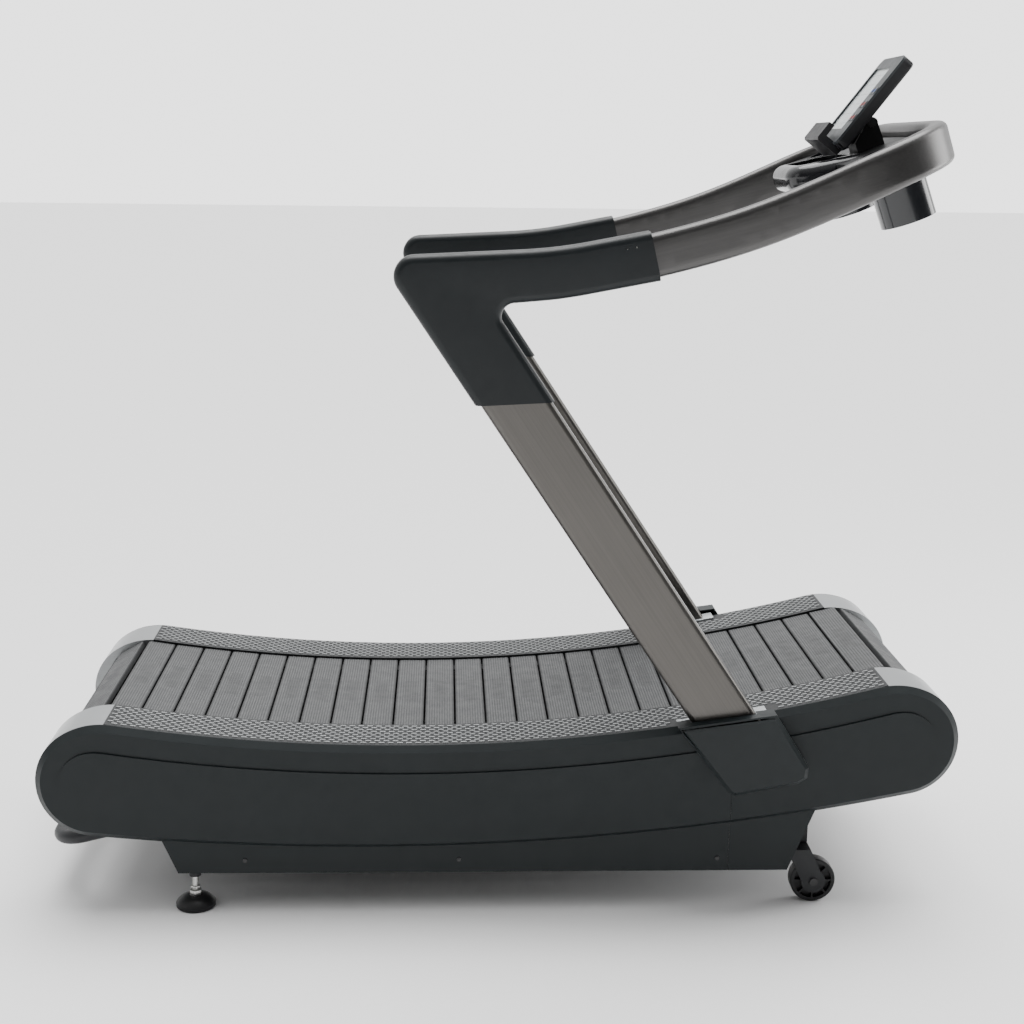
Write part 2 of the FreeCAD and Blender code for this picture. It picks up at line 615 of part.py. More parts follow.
def bow_station(x, y, turn):
    """Middle, outward and upward directions where the bow has turned by an angle in plan."""
    point, slope = bow_point(x)
    up = Vector(-slope.z, 0, slope.x)
    side = 1 if y >= 0 else -1
    ahead = slope * math.cos(turn) + Vector(0, -side, 0) * math.sin(turn)
    return Vector(point.x, y, point.z), ahead.cross(up) * -side, up


def bow_stations():
    """Stations along the left arm, round its corner and to the middle of the front bar."""
    half, corner, front = size("bow_half_width"), size("bow_corner"), size("bow_front_x")
    start = size("bow_end_x")
    arm = [start + (front - corner - start) * k / 10 for k in range(11)]
    stations = [(x, half, 0.0) for x in arm]
    for k in range(1, 9):
        turn = math.radians(90 * k / 8)
        stations.append((front - corner + corner * math.sin(turn),
                         half - corner + corner * math.cos(turn), turn))
    flat = half - corner
    stations += [(front, flat * share, math.pi / 2) for share in (0.7, 0.35, 0.01)]
    return stations


def rounded_section(middle, out, up, wide, tall, radius):
    """A rounded rectangle as a wire, square to the bow at a station."""
    a, b = wide / 2 - radius, tall / 2 - radius
    edges = []
    k = radius * math.sqrt(0.5)
    for su, sv in ((1, 1), (-1, 1), (-1, -1), (1, -1)):
        p0 = middle + out * (su * (a + (radius if su == sv else 0))) + up * (sv * (b + (0 if su == sv else radius)))
        p1 = middle + out * (su * (a + k)) + up * (sv * (b + k))
        p2 = middle + out * (su * (a + (0 if su == sv else radius))) + up * (sv * (b + (radius if su == sv else 0)))
        edges.append((p0, p1, p2))
    wire = []
    for k in range(4):
        p0, p1, p2 = edges[k]
        wire.append(Part.Arc(p0, p1, p2).toShape())
        wire.append(line(p2, edges[(k + 1) % 4][0]))
    return Part.Wire(wire)


def bow_wire(grow, station):
    middle, out, up = bow_station(*station)
    return rounded_section(middle, out, up, size("bow_thick") + 2 * grow,
                           size("bow_tall") + 2 * grow, size("bow_round") + grow)


def bow_loft(grow, stations):
    """Loft of the bow's section, grown by an amount, through a list of stations."""
    return Part.makeLoft([bow_wire(grow, station) for station in stations], True, False)


def bow_loop(grow):
    """The whole loop: the left half's sections and their mirror images, back to the right arm."""
    half = [bow_wire(grow, station) for station in bow_stations()]
    mirrored = []
    for x, y, turn in reversed(bow_stations()):
        middle, out, up = bow_station(x, y, turn)
        middle, out = Vector(middle.x, -middle.y, middle.z), Vector(-out.x, out.y, -out.z)
        mirrored.append(rounded_section(middle, out, up, size("bow_thick") + 2 * grow,
                                        size("bow_tall") + 2 * grow, size("bow_round") + grow))
    return Part.makeLoft(half + mirrored, True, False)


add("handrail_bow", bow_loop(0).cut(bow_loop(-size("bow_wall"))))

# ---------------------------------------------------------------- elbow covers
ELBOW_Y0 = UPRIGHT_IN - size("elbow_over")
ELBOW_Y1 = size("upright_outer_y") + size("elbow_over")


def leg_edge(across, z):
    """The point at a height on a line along the upright, offset forward from its middle."""
    along = (z - size("upright_foot_z") - across * math.cos(LEAN)) / math.sin(LEAN)
    return at(*leaning(along, across))


def crossing(a, b, c, d):
    """Where the line through a and b meets the line through c and d, in the XZ plane."""
    u, v = b - a, d - c
    across = u.x * v.z - u.z * v.x
    along = ((c.x - a.x) * v.z - (c.z - a.z) * v.x) / across
    return a + u * along


def bow_edge(x, offset):
    """A point of the bow's side, offset square to its middle line."""
    point, slope = bow_point(x)
    return point + Vector(-slope.z, 0, slope.x) * offset


def shrunk(corners, inset):
    """The same clockwise corners with every edge moved inwards; each corner is (point, radius)."""
    count, moved = len(corners), []
    for k in range(count):
        before, (here, radius), after = corners[k - 1][0], corners[k], corners[(k + 1) % count][0]
        sides = []
        for a, b in ((before, here), (here, after)):
            step = (b - a).normalize()
            inward = Vector(step.z, 0, -step.x) * inset
            sides += [a + inward, b + inward]
        hollow = (here - before).cross(after - here).y < 0
        if radius:
            radius = radius + inset if hollow else max(radius - inset, 1.0)
        moved.append((crossing(*sides), radius))
    return moved


def softened(corners):
    """Edges round corners whose points are rounded by tangent arcs."""
    count, ends, arcs = len(corners), [], []
    for k in range(count):
        before, (here, radius), after = corners[k - 1][0], corners[k], corners[(k + 1) % count][0]
        back, ahead = (before - here).normalize(), (after - here).normalize()
        if not radius:
            ends.append((here, here))
            continue
        half = back.getAngle(ahead) / 2
        reach = radius / math.tan(half)
        middle = here + (back + ahead).normalize() * (radius / math.sin(half) - radius)
        ends.append((here + back * reach, here + ahead * reach))
        arcs.append(Part.Arc(ends[-1][0], middle, ends[-1][1]).toShape())
    lines = [line(ends[k - 1][1], ends[k][0]) for k in range(count)]
    return Part.__sortEdges__(lines + arcs)


def elbow_corners():
    """Side outline of the elbow cover, clockwise: leg, knuckle, arm along the bow, and the pit."""
    rear, front = -DEEP / 2 - size("elbow_rear_over"), DEEP / 2 + size("elbow_front_over")
    half = size("bow_tall") / 2 + 6
    low, top = size("elbow_foot_z"), size("bow_end_z")
    leg_rear, leg_front = leg_edge(rear, low), leg_edge(front, low + 8)
    end_x, mid_x = size("elbow_reach"), 0.36 * size("elbow_reach")
    top_mid, low_mid = bow_edge(mid_x, half), bow_edge(mid_x, -half)
    knuckle = crossing(leg_rear, leg_edge(rear, top), bow_edge(-100, half), top_mid)
    pit = crossing(leg_front, leg_edge(front, top), bow_edge(-20, -half), low_mid)
    return [(leg_front, 0), (leg_rear, 0), (knuckle, 38.0), (top_mid, 900.0),
            (bow_edge(end_x, half), 0), (bow_edge(end_x, -half), 0), (low_mid, 800.0), (pit, 24.0)]


def elbow_block(inset):
    """The elbow's outline as a solid with its long rims rounded, the two open ends left square."""
    corners = shrunk(elbow_corners(), inset) if inset else elbow_corners()
    solid = slab(softened(corners), ELBOW_Y0 + inset, ELBOW_Y1 - inset)
    ends = [(corners[0][0] + corners[1][0]) * 0.5, (corners[4][0] + corners[5][0]) * 0.5]

    def is_rim(edge):
        middle = edge.CenterOfMass
        flat = Vector(middle.x, 0, middle.z)
        return edge.BoundBox.YLength < 0.01 and min(flat.distanceToPoint(end) for end in ends) > 2
    return solid.makeFillet(size("elbow_round") - inset, [edge for edge in solid.Edges if is_rim(edge)])


def elbow_shell():
    """The whole hollow elbow cover of the left side, open at the arm's end and the leg's foot."""
    reach = size("elbow_reach")
    mouth = bow_loft(0.4, [(x, size("bow_half_width"), 0.0) for x in (reach - 90, reach - 30, reach + 30)])
    foot = leaning_box(300, 800, -DEEP / 2 - 0.4, DEEP / 2 + 0.4, UPRIGHT_IN - 0.4,
                       size("upright_outer_y") + 0.4)
    return largest(elbow_block(0).cut(elbow_block(size("elbow_wall"))).cut(mouth).cut(foot))


def elbow_parting():
    """The region above the parting line, which belongs to the top shell."""
    lift = size("bow_end_z")
    points = [(-260, lift - 6), (-165, lift - 6), (-146, lift + 10), (97, lift + 22)]
    end, slope = bow_point(262.0)
    points += [(end.x, end.z + 8), (end.x + 60, end.z + 24), (300, 1500), (-260, 1500)]
    return points


whole = elbow_shell()
above = slab(polygon(elbow_parting()), 250, 420)
top_shell, lower_shell = largest(whole.common(above)), largest(whole.cut(above))
for side_name, flip in (("left", lambda shape: shape), ("right", left)):
    add("elbow_top_cover_" + side_name, flip(top_shell))
    add("elbow_lower_cover_" + side_name, flip(lower_shell))

# ---------------------------------------------------------------- console
CONSOLE = FreeCAD.Placement(Vector(size("console_x"), 0, size("console_z")),
                            FreeCAD.Rotation(Vector(0, 1, 0), -size("console_tilt")))
MONITOR = FreeCAD.Placement(Vector(size("monitor_foot_x"), 0, size("monitor_foot_z")),
                            FreeCAD.Rotation(Vector(0, 1, 0), -size("monitor_lean")))


def placed(shape, placement):
    moved = shape.copy()
    moved.Placement = placement.multiply(moved.Placement)
    return moved


def cup_solid(radius, low, high):
    cups = []
    for y in (-size("cup_y"), size("cup_y")):
        cups.append(Part.makeCylinder(radius, high - low, Vector(size("cup_along"), y, low)))
    return cups


def mount_plate():
    """Moulded plate that fills the bow's loop, with holes for the cups and the tray pod's back."""
    thick, slack = size("plate_thick"), size("bow_thick") / 2 + 1.5
    plate = placed(block(-size("plate_back"), 200, -400, 400, -thick, 0), CONSOLE)
    half = size("bow_half_width") - slack
    front = size("bow_front_x") - slack - 10
    room = block(0, front, -half, half, 1200, 1700)
    corners = [edge for edge in room.Edges if edge.BoundBox.ZLength > 400 and edge.BoundBox.XMin > 1]
    plate = plate.common(room.makeFillet(size("bow_corner") - slack, corners))
    for cup in cup_solid(size("cup_radius") + 0.3, -thick - 1, 1):
        plate = plate.cut(placed(cup, CONSOLE))
    half = size("pod_half_width") + 0.3
    return plate.cut(placed(block(-size("pod_reach"), -19.7, -half, half, -size("pod_thick"), 8), CONSOLE))


def tray_pod():
    """The rounded tray behind the plate, with a shallow dish for keys and a phone."""
    reach, half, thick = size("pod_reach"), size("pod_half_width"), size("pod_thick")
    pod = block(-reach, -20, -half, half, -thick + 4, 4)
    ends = [edge for edge in pod.Edges if edge.BoundBox.ZLength > thick - 0.1
            and edge.BoundBox.XMax < -reach + 1]
    pod = pod.makeFillet(48, ends)
    rims = [edge for edge in pod.Edges if edge.BoundBox.ZLength < 0.1 and edge.BoundBox.XMin < -reach + 60]
    pod = pod.makeFillet(23, rims)
    dish = block(-reach + 30, -30, 30 - half, half - 30, -8, 20)
    upright_edges = [edge for edge in dish.Edges if edge.BoundBox.ZLength > 27]
    dish = dish.makeFillet(22, upright_edges)
    belly = block(-reach + 26, -24, 26 - half, half - 26, 9 - thick, -14)
    return pod.cut(dish).cut(belly)


add("console_plate", mount_plate())
hinge_line = CONSOLE.multVec(Vector(-20, 0, 0))
POD = FreeCAD.Placement(hinge_line, FreeCAD.Rotation(Vector(0, 1, 0), -size("pod_tilt")))
POD = POD.multiply(FreeCAD.Placement(Vector(20, 0, 0), FreeCAD.Rotation()))
add("console_tray", tray_pod(), POD)
cup_low = -size("cup_depth")
cups = []
for cup, inner, rim in zip(cup_solid(size("cup_radius"), cup_low, 3),
                           cup_solid(size("cup_radius") - size("cup_wall"), cup_low + 4, 4),
                           cup_solid(size("cup_radius") + 5, 0, 3)):
    cups.append(placed(cup.fuse(rim).cut(inner), CONSOLE))
add("cup_holders", cups)


def neck():
    """Pedestal of the monitor: a foot that narrows to two cheeks for the tilt pin."""
    u, w = size("pivot_along"), size("pivot_up")
    cheek = size("pivot_radius") + 5
    outline = polygon([(-6, 0), (49, 0), (u + cheek, w), (u - 6, w + 6), (-6, 20)])
    foot = slab(outline, -34, 34).fuse(rod(u, w, cheek, -34, 34))
    return foot.cut(block(-60, 90, -24, 24, 18, 90))


PIVOT = CONSOLE.multVec(Vector(size("pivot_along"), 0, size("pivot_up")))
neck_body = placed(neck(), CONSOLE)
pin_room = rod(PIVOT.x, PIVOT.z, size("pivot_radius") + size("running_gap"), -40, 40)
add("console_neck", neck_body.cut(pin_room))


def ledge():
    """The shelf under the screen: it reaches forward and turns up in a lip that holds a phone."""
    deep, slot = size("monitor_thick") - 2, size("phone_slot")
    back, top = slot + 12, size("lip_rise")
    corners = [(3, -deep), (-12, 2 - deep), (-12, back - 4), (-8, back), (top, back), (top, slot), (4, slot),
               (4, 0.3), (-0.3, 0.3), (-0.3, -8), (3, -8)]
    return slab(polygon(corners), -62, 62)


def monitor_back():
    """The monitor's rear housing with its phone ledge and the lug that hangs on the tilt pin."""
    tall, half, thick = size("monitor_tall"), size("monitor_wide") / 2, size("monitor_thick")
    bezel = size("bezel_thick")
    shell = block(0, tall, -half, half, -thick, -bezel)
    edges = [edge for edge in shell.Edges if edge.BoundBox.ZLength > thick - bezel - 0.1]
    shell = shell.makeFillet(16, edges)
    rims = [edge for edge in shell.Edges if edge.BoundBox.ZMax < -thick + 0.1]
    shell = shell.makeFillet(5, rims)
    shell = shell.cut(block(4, tall - 4, 4 - half, half - 4, -thick + 3, 0))
    pivot = MONITOR.inverse().multVec(PIVOT)
    strap = block(pivot.x - 9, pivot.x + 9, -23, 23, pivot.z, 1 - thick)
    lug = rod(pivot.x, pivot.z, size("pivot_radius") + 5, -23, 23)
    bore = rod(pivot.x, pivot.z, size("pivot_radius") + size("running_gap"), -30, 30)
    return largest(shell.fuse([ledge(), strap, lug]).cut(bore))


KEY_ROWS = (62.0, 94.0, 126.0)
KEY_COLUMNS = {"right": -73.0, "left": -53.0}
WINDOW = (36.0, size("monitor_tall") - 26, -39.0, size("monitor_wide") / 2 - 8)


def monitor_bezel():
    tall, half, thick = size("monitor_tall"), size("monitor_wide") / 2, size("bezel_thick")
    frame = block(0, tall, -half, half, -thick, 0)
    frame = frame.makeFillet(16, [edge for edge in frame.Edges if edge.BoundBox.ZLength > thick - 0.1])
    window = block(*WINDOW, -thick - 1, 1)
    frame = frame.cut(window)
    for row in KEY_ROWS:
        for y in KEY_COLUMNS.values():
            frame = frame.cut(key_block(row, y, size("fit_gap"), -thick - 1, 1))
    return frame


def key_block(row, y, grow, low, high):
    long, wide = size("key_long") / 2 + grow, size("key_wide") / 2 + grow
    return block(row - long, row + long, y - wide, y + wide, low, high)


add("monitor_back", monitor_back(), MONITOR)
add("monitor_bezel", monitor_bezel(), MONITOR)
slack = 0.2
lens = block(WINDOW[0] + slack, WINDOW[1] - slack, WINDOW[2] + slack, WINDOW[3] - slack,
             -size("bezel_thick"), size("lens_thick") - size("bezel_thick"))
add("screen_lens", lens, MONITOR)
board_half = size("monitor_wide") / 2 - 12
board = block(12, size("monitor_tall") - 12, -board_half, board_half, -size("bezel_thick") - 9,
              -size("bezel_thick") - 7.4)
add("display_board", board, MONITOR)
for side_name, y in KEY_COLUMNS.items():
    for number, row in enumerate(KEY_ROWS, start=1):
        key = key_block(row, y, 0, -size("bezel_thick") - 1.5, size("key_travel") + 0.6)
        add(f"key_{side_name}_{number}", key, MONITOR)
pin = rod(PIVOT.x, PIVOT.z, size("pivot_radius"), -38, 38).fuse(
    [rod(PIVOT.x, PIVOT.z, 10, -42, -34.5), rod(PIVOT.x, PIVOT.z, 10, 34.5, 42)])
add("tilt_pin", pin)

# ---------------------------------------------------------------- transport wheels
WHEEL_Y0 = size("wheel_y") - size("wheel_width") / 2
WHEEL_Y1 = size("wheel_y") + size("wheel_width") / 2


def transport_wheel():
    x, z = size("wheel_x"), size("wheel_radius")
    tyre = rod(x, z, size("wheel_radius"), WHEEL_Y0, WHEEL_Y1)
    tyre = tyre.makeFillet(3, [edge for edge in tyre.Edges if edge.BoundBox.YLength < 0.01])
    for y0, y1 in ((WHEEL_Y0 - 1, WHEEL_Y0 + 9), (WHEEL_Y1 - 9, WHEEL_Y1 + 1)):
        ring = rod(x, z, size("wheel_radius") - 8, y0, y1).cut(rod(x, z, 14, y0, y1))
        for k in range(8):
            spoke = block(x + 10, x + size("wheel_radius") - 5, y0, y1, z - 1.5, z + 1.5)
            spoke.rotate(Vector(x, 0, z), Vector(0, 1, 0), 45 * k)
            ring = ring.cut(spoke)
        tyre = tyre.cut(ring)
    return tyre.cut(rod(x, z, size("wheel_bolt") + size("running_gap"), WHEEL_Y0 - 1, WHEEL_Y1 + 1))


def wheel_bracket():
    """The fork over a wheel: two cheeks with round ends and a bridge under the frame."""
    x, z, r = size("wheel_x"), size("wheel_radius"), size("fork_round")
    top = x - 24
    cheeks = []
    gap = 2.0
    for y0 in (WHEEL_Y0 - gap - size("fork_plate"), WHEEL_Y1 + gap):
        y1 = y0 + size("fork_plate")
        plate = slab(polygon([(x - r, z), (x + r, z), (top + 16, FORK_TOP), (top - 30, FORK_TOP)]), y0, y1)
        cheeks.append(plate.fuse(rod(x, z, r, y0, y1)))
    bridge = block(top - 30, top + 16, WHEEL_Y0 - gap - size("fork_plate"),
                   WHEEL_Y1 + gap + size("fork_plate"), FORK_TOP - size("fork_plate"), FORK_TOP)
    bore = rod(x, z, size("wheel_bolt") + size("running_gap"), WHEEL_Y0 - 20, WHEEL_Y1 + 20)
    return cheeks[0].fuse([cheeks[1], bridge]).cut(bore).removeSplitter()


wheel = transport_wheel()
add("wheel_left", wheel)
add("wheel_right", left(wheel))
add("wheel_brackets", both(wheel_bracket()))
bolt_y0 = WHEEL_Y0 - 2 - size("fork_plate")
bolt_y1 = WHEEL_Y1 + 2 + size("fork_plate")
bolt = rod(size("wheel_x"), size("wheel_radius"), size("wheel_bolt"), bolt_y0, bolt_y1).fuse(
    [rod(size("wheel_x"), size("wheel_radius"), 9, bolt_y0 - 5, bolt_y0),
     rod(size("wheel_x"), size("wheel_radius"), 8, bolt_y1, bolt_y1 + 4)])
add("wheel_bolts", both(bolt))

# ---------------------------------------------------------------- levelling feet
def foot_pad():
    """A turned rubber pad: flat below, domed above, drawn as a half section and revolved."""
    r, tall = size("pad_radius"), size("pad_height")
    a, b = Vector(0, 0, 0), Vector(r - 2, 0, 0)
    c, d = Vector(r, 0, 2), Vector(r, 0, tall * 0.35)
    e, f = Vector(12, 0, tall), Vector(0, 0, tall)
    dome = Part.Arc(d, Vector(r * 0.80, 0, tall * 0.72), e).toShape()
    face = Part.Face(Part.Wire([line(a, b), line(b, c), line(c, d), dome, line(e, f), line(f, a)]))
    return face.revolve(Vector(0, 0, 0), Vector(0, 0, 1), 360)


for side_name, y in (("left", size("foot_y")), ("right", -size("foot_y"))):
    add("foot_pad_" + side_name, foot_pad(), FreeCAD.Placement(Vector(size("foot_x"), y, 0), FreeCAD.Rotation()))
    stud = doc.addObject("Part::Cylinder", "foot_stud_" + side_name)
    stud.Label = "foot_stud_" + side_name
    stud.setExpression("Radius", "Sizes.stud_radius")
    stud.setExpression("Height", "Sizes.foot_plate_z + 30 - Sizes.pad_height")
    stud.Placement = FreeCAD.Placement(Vector(size("foot_x"), y, size("pad_height")), FreeCAD.Rotation())
    parts.append(stud)

# ---------------------------------------------------------------- rear lift handle
def handle_wire():
    """Middle line of the handle: two legs and a crossbar joined by round corners."""
    half, corner = size("handle_half_width"), size("handle_corner")
    reach = size("handle_reach")
    p = [Vector(reach, -half, 0), Vector(corner, -half, 0), Vector(0, corner - half, 0),
         Vector(0, half - corner, 0), Vector(corner, half, 0), Vector(reach, half, 0)]
    bend = corner * (1 - math.sqrt(0.5))
    first = Part.Arc(p[1], Vector(bend, bend - half, 0), p[2]).toShape()
    second = Part.Arc(p[3], Vector(bend, half - bend, 0), p[4]).toShape()
    return Part.Wire([line(p[0], p[1]), first, line(p[2], p[3]), second, line(p[4], p[5])]), p[0]


def handle_tube(radius):
    wire, start = handle_wire()
    ring = Part.Wire([Part.makeCircle(radius, start, Vector(1, 0, 0))])
    return wire.makePipeShell([ring], True, False)


HANDLE = FreeCAD.Placement(Vector(size("handle_back_x"), 0, size("handle_z")),
                           FreeCAD.Rotation(Vector(0, 1, 0), -size("handle_slope")))
handle = handle_tube(size("handle_tube")).cut(handle_tube(size("handle_tube") - size("handle_wall")))
add("lift_handle", handle, HANDLE)

# ---------------------------------------------------------------- screws that show
def screw(x, y, z):
    """A pan head along Y with a driver recess, its shank short behind it."""
    head = rod(x, z, size("screw_radius"), y, y + 2.4)
    shank = rod(x, z, size("screw_radius") / 2, y - 8, y + 0.1)
    return head.fuse(shank).cut(rod(x, z, 1.4, y + 1.2, y + 3))


screws = []
for x, y, z in screw_spots:
    screws += both(screw(x, y, z))
add("cover_screws", screws)

# ---------------------------------------------------------------- check and write
doc.recompute()
for thing in doc.Objects:
    broken = [state for state in thing.State if state in ("Invalid", "Error")]
    if broken:
        raise RuntimeError(f"{thing.Label}: {broken}")
for part in parts:
    if part.Shape.isNull() or not part.Shape.isValid() or not part.Shape.Solids:
        raise RuntimeError(f"{part.Label} has no valid solid")
for part in parts:
    part.Shape.exportStep(f"parts/{part.Label}.step")
    box = part.Shape.BoundBox
    print(f"{part.Label:26s} {len(part.Shape.Solids):3d} solids  x {box.XMin:7.1f} {box.XMax:7.1f}"
          f"  y {box.YMin:7.1f} {box.YMax:7.1f}  z {box.ZMin:7.1f} {box.ZMax:7.1f}")
print(len(parts), "sub-parts")
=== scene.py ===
# %% [markdown]
# # A curved manual treadmill
# The machine stands on the floor with its hollow deck of rubber slats between two foot rails.
# Two leaning posts carry a looped handrail with a small console at its front. The measured
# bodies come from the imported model, so every piece here goes where that model says.

# %% Load the measured model
import json
import math
import bmesh
import bpy
from mathutils import Matrix, Vector


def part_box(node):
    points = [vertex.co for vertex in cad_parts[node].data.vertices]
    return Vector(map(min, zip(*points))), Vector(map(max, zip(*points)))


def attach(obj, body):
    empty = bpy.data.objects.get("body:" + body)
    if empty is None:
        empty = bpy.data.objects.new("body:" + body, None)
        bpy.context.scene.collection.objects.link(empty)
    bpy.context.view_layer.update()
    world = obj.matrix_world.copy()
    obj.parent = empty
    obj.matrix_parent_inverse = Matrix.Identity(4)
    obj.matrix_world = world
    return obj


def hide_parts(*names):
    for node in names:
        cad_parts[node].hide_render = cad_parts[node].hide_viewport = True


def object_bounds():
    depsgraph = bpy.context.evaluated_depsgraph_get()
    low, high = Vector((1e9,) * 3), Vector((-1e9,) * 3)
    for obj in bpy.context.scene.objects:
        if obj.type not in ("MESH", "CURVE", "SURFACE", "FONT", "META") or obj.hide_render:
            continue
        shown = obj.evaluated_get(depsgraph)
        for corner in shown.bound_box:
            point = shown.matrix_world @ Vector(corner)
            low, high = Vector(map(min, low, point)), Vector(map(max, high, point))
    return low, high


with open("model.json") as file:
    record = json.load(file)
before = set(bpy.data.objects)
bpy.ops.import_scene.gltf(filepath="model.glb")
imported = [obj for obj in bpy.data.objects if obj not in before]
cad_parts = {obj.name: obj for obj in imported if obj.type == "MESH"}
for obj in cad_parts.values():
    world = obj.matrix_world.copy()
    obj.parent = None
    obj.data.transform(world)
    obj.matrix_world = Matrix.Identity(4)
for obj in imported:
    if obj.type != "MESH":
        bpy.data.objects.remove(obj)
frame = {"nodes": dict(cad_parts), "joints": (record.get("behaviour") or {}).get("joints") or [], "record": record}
cad_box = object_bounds()
parts = frame["nodes"]
body_of_part = {}
for body, members in frame["record"]["behaviour"]["bodies"].items():
    for member in members:
        body_of_part[member] = body
slot_of_part = {}
for entry in frame["record"]["subparts"]:
    slot_of_part[entry["node"]] = entry["material_slot"]
joints = {joint["name"]: joint for joint in frame["joints"]}
print("parts", len(parts), "box", [round(v, 3) for v in cad_box[0]], [round(v, 3) for v in cad_box[1]])

# %% [markdown]
# ## Camera
# A product view of a long machine is taken from a few metres away with a mild telephoto lens,
# a little above the handrail and looking slightly down. A camera is placed by its position and
# three turns. Building its matrix from a forward, a right and an up direction keeps each turn
# readable, and avoids guessing at Euler angles.

# %% Camera
def aim_camera(place, yaw, pitch, roll, lens):
    """A camera at a place, turned towards +X by yaw, down by pitch, and rolled a little."""
    forward = Vector((math.sin(yaw) * math.cos(pitch), math.cos(yaw) * math.cos(pitch), -math.sin(pitch)))
    right = Vector((math.cos(yaw), -math.sin(yaw), 0))
    up = right.cross(forward)
    tilted_right = right * math.cos(roll) + up * math.sin(roll)
    tilted_up = up * math.cos(roll) - right * math.sin(roll)
    data = bpy.data.cameras.new("Product view")
    data.lens = lens
    data.sensor_width = 36.0
    camera = bpy.data.objects.new("Product view", data)
    bpy.context.scene.collection.objects.link(camera)
    turn = Matrix((tilted_right, tilted_up, -forward)).transposed()
    camera.matrix_world = Matrix.Translation(place) @ turn.to_4x4()
    bpy.context.scene.camera = camera
    return camera


camera = aim_camera(Vector((-0.1105, -3.3306, 1.4604)), 0.0422, 0.217, 0.0121, 57.69)
print("camera lens", camera.data.lens)

# %% [markdown]
# ## Floor and light
# Dark plastic only reads when something bright lies in its reflections. So the room is pale all
# round, a wide soft ceiling lies overhead to draw a bright line along every upper edge, and two
# more panels open up the side that faces the camera. The floor is a stage piece: it is not part
# of the object.

# %% Floor
def pale_floor():
    """A wide plane just under the feet, with a plain pale finish."""
    mesh = bpy.data.meshes.new("studio_floor")
    shape = bmesh.new()
    bmesh.ops.create_grid(shape, x_segments=1, y_segments=1, size=40.0)
    shape.to_mesh(mesh)
    shape.free()
    mesh.transform(Matrix.Translation((0, 0, cad_box[0].z - 0.0005)))
    floor = bpy.data.objects.new("studio_floor", mesh)
    bpy.context.scene.collection.objects.link(floor)
    paint = bpy.data.materials.new("Pale studio floor")
    paint.use_nodes = True
    shader = paint.node_tree.nodes["Principled BSDF"]
    shader.inputs["Base Color"].default_value = (0.88, 0.88, 0.88, 1)
    shader.inputs["Roughness"].default_value = 0.9
    mesh.materials.append(paint)
    return floor


floor = pale_floor()
print("floor at", round(cad_box[0].z, 4))

# %% Light
def soft_panel(name, place, target, wide, tall, power):
    """A rectangular light at a place, turned towards a target."""
    data = bpy.data.lights.new(name, "AREA")
    data.shape = "RECTANGLE"
    data.size = wide
    data.size_y = tall
    data.energy = power
    lamp = bpy.data.objects.new(name, data)
    bpy.context.scene.collection.objects.link(lamp)
    lamp.location = place
    lamp.rotation_euler = (Vector(target) - Vector(place)).to_track_quat("-Z", "Y").to_euler()
    return lamp


middle = (cad_box[0] + cad_box[1]) / 2
soft_panel("Left panel", (-3.4, -1.2, 2.2), middle, 1.2, 2.4, 12)
soft_panel("Right panel", (3.2, 0.6, 1.9), middle, 1.2, 2.6, 50)


def soft_ceiling(facing, spread_angle, power):
    """A wide, even light from above, like a ceiling of softboxes, with no edge on the floor."""
    data = bpy.data.lights.new("Soft ceiling", "SUN")
    data.angle = math.radians(spread_angle)
    data.energy = power
    lamp = bpy.data.objects.new("Soft ceiling", data)
    bpy.context.scene.collection.objects.link(lamp)
    lamp.rotation_euler = Vector(facing).to_track_quat("-Z", "Y").to_euler()


soft_ceiling((-0.05, -0.32, -1.0), 55.0, 4.2)


def pale_room():
    """A world that is white behind and above the machine and dim on the camera's side."""
    room = bpy.data.worlds.new("Pale room")
    room.use_nodes = True
    tree = room.node_tree
    seen = tree.nodes["Background"]
    direction = tree.nodes.new("ShaderNodeTexCoord")
    split = tree.nodes.new("ShaderNodeSeparateXYZ")
    tree.links.new(direction.outputs["Generated"], split.inputs[0])
    behind = tree.nodes.new("ShaderNodeMapRange")
    behind.interpolation_type = "SMOOTHSTEP"
    behind.inputs["From Min"].default_value = -0.35
    behind.inputs["From Max"].default_value = 0.45
    behind.inputs["To Min"].default_value = 0.10
    behind.inputs["To Max"].default_value = 1.15
    tree.links.new(split.outputs["Y"], behind.inputs["Value"])
    above = tree.nodes.new("ShaderNodeMapRange")
    above.inputs["From Min"].default_value = 0.3
    above.inputs["To Max"].default_value = 0.7
    tree.links.new(split.outputs["Z"], above.inputs["Value"])
    total = tree.nodes.new("ShaderNodeMath")
    tree.links.new(behind.outputs[0], total.inputs[0])
    tree.links.new(above.outputs[0], total.inputs[1])
    seen.inputs["Color"].default_value = (1.0, 1.0, 1.0, 1)
    tree.links.new(total.outputs[0], seen.inputs["Strength"])
    backdrop = tree.nodes.new("ShaderNodeBackground")
    backdrop.inputs["Color"].default_value = (1.0, 1.0, 1.0, 1)
    backdrop.inputs["Strength"].default_value = 2.6
    path = tree.nodes.new("ShaderNodeLightPath")
    choice = tree.nodes.new("ShaderNodeMixShader")
    tree.links.new(path.outputs["Is Camera Ray"], choice.inputs["Fac"])
    tree.links.new(seen.outputs[0], choice.inputs[1])
    tree.links.new(backdrop.outputs[0], choice.inputs[2])
    tree.links.new(choice.outputs[0], tree.nodes["World Output"].inputs["Surface"])
    bpy.context.scene.world = room


pale_room()
print("lights", len(bpy.data.lights))

# %% [markdown]
# ## Shared effects
# Several finishes need the same three effects: the fine grain of a moulded or powder-coated
# surface, the long scratches of brushed metal, and rows of small raised dots. Each one is a node
# group, built once, that gives out a colour, a roughness and a height. The material that uses it
# feeds them to its own shader, with its own numbers.

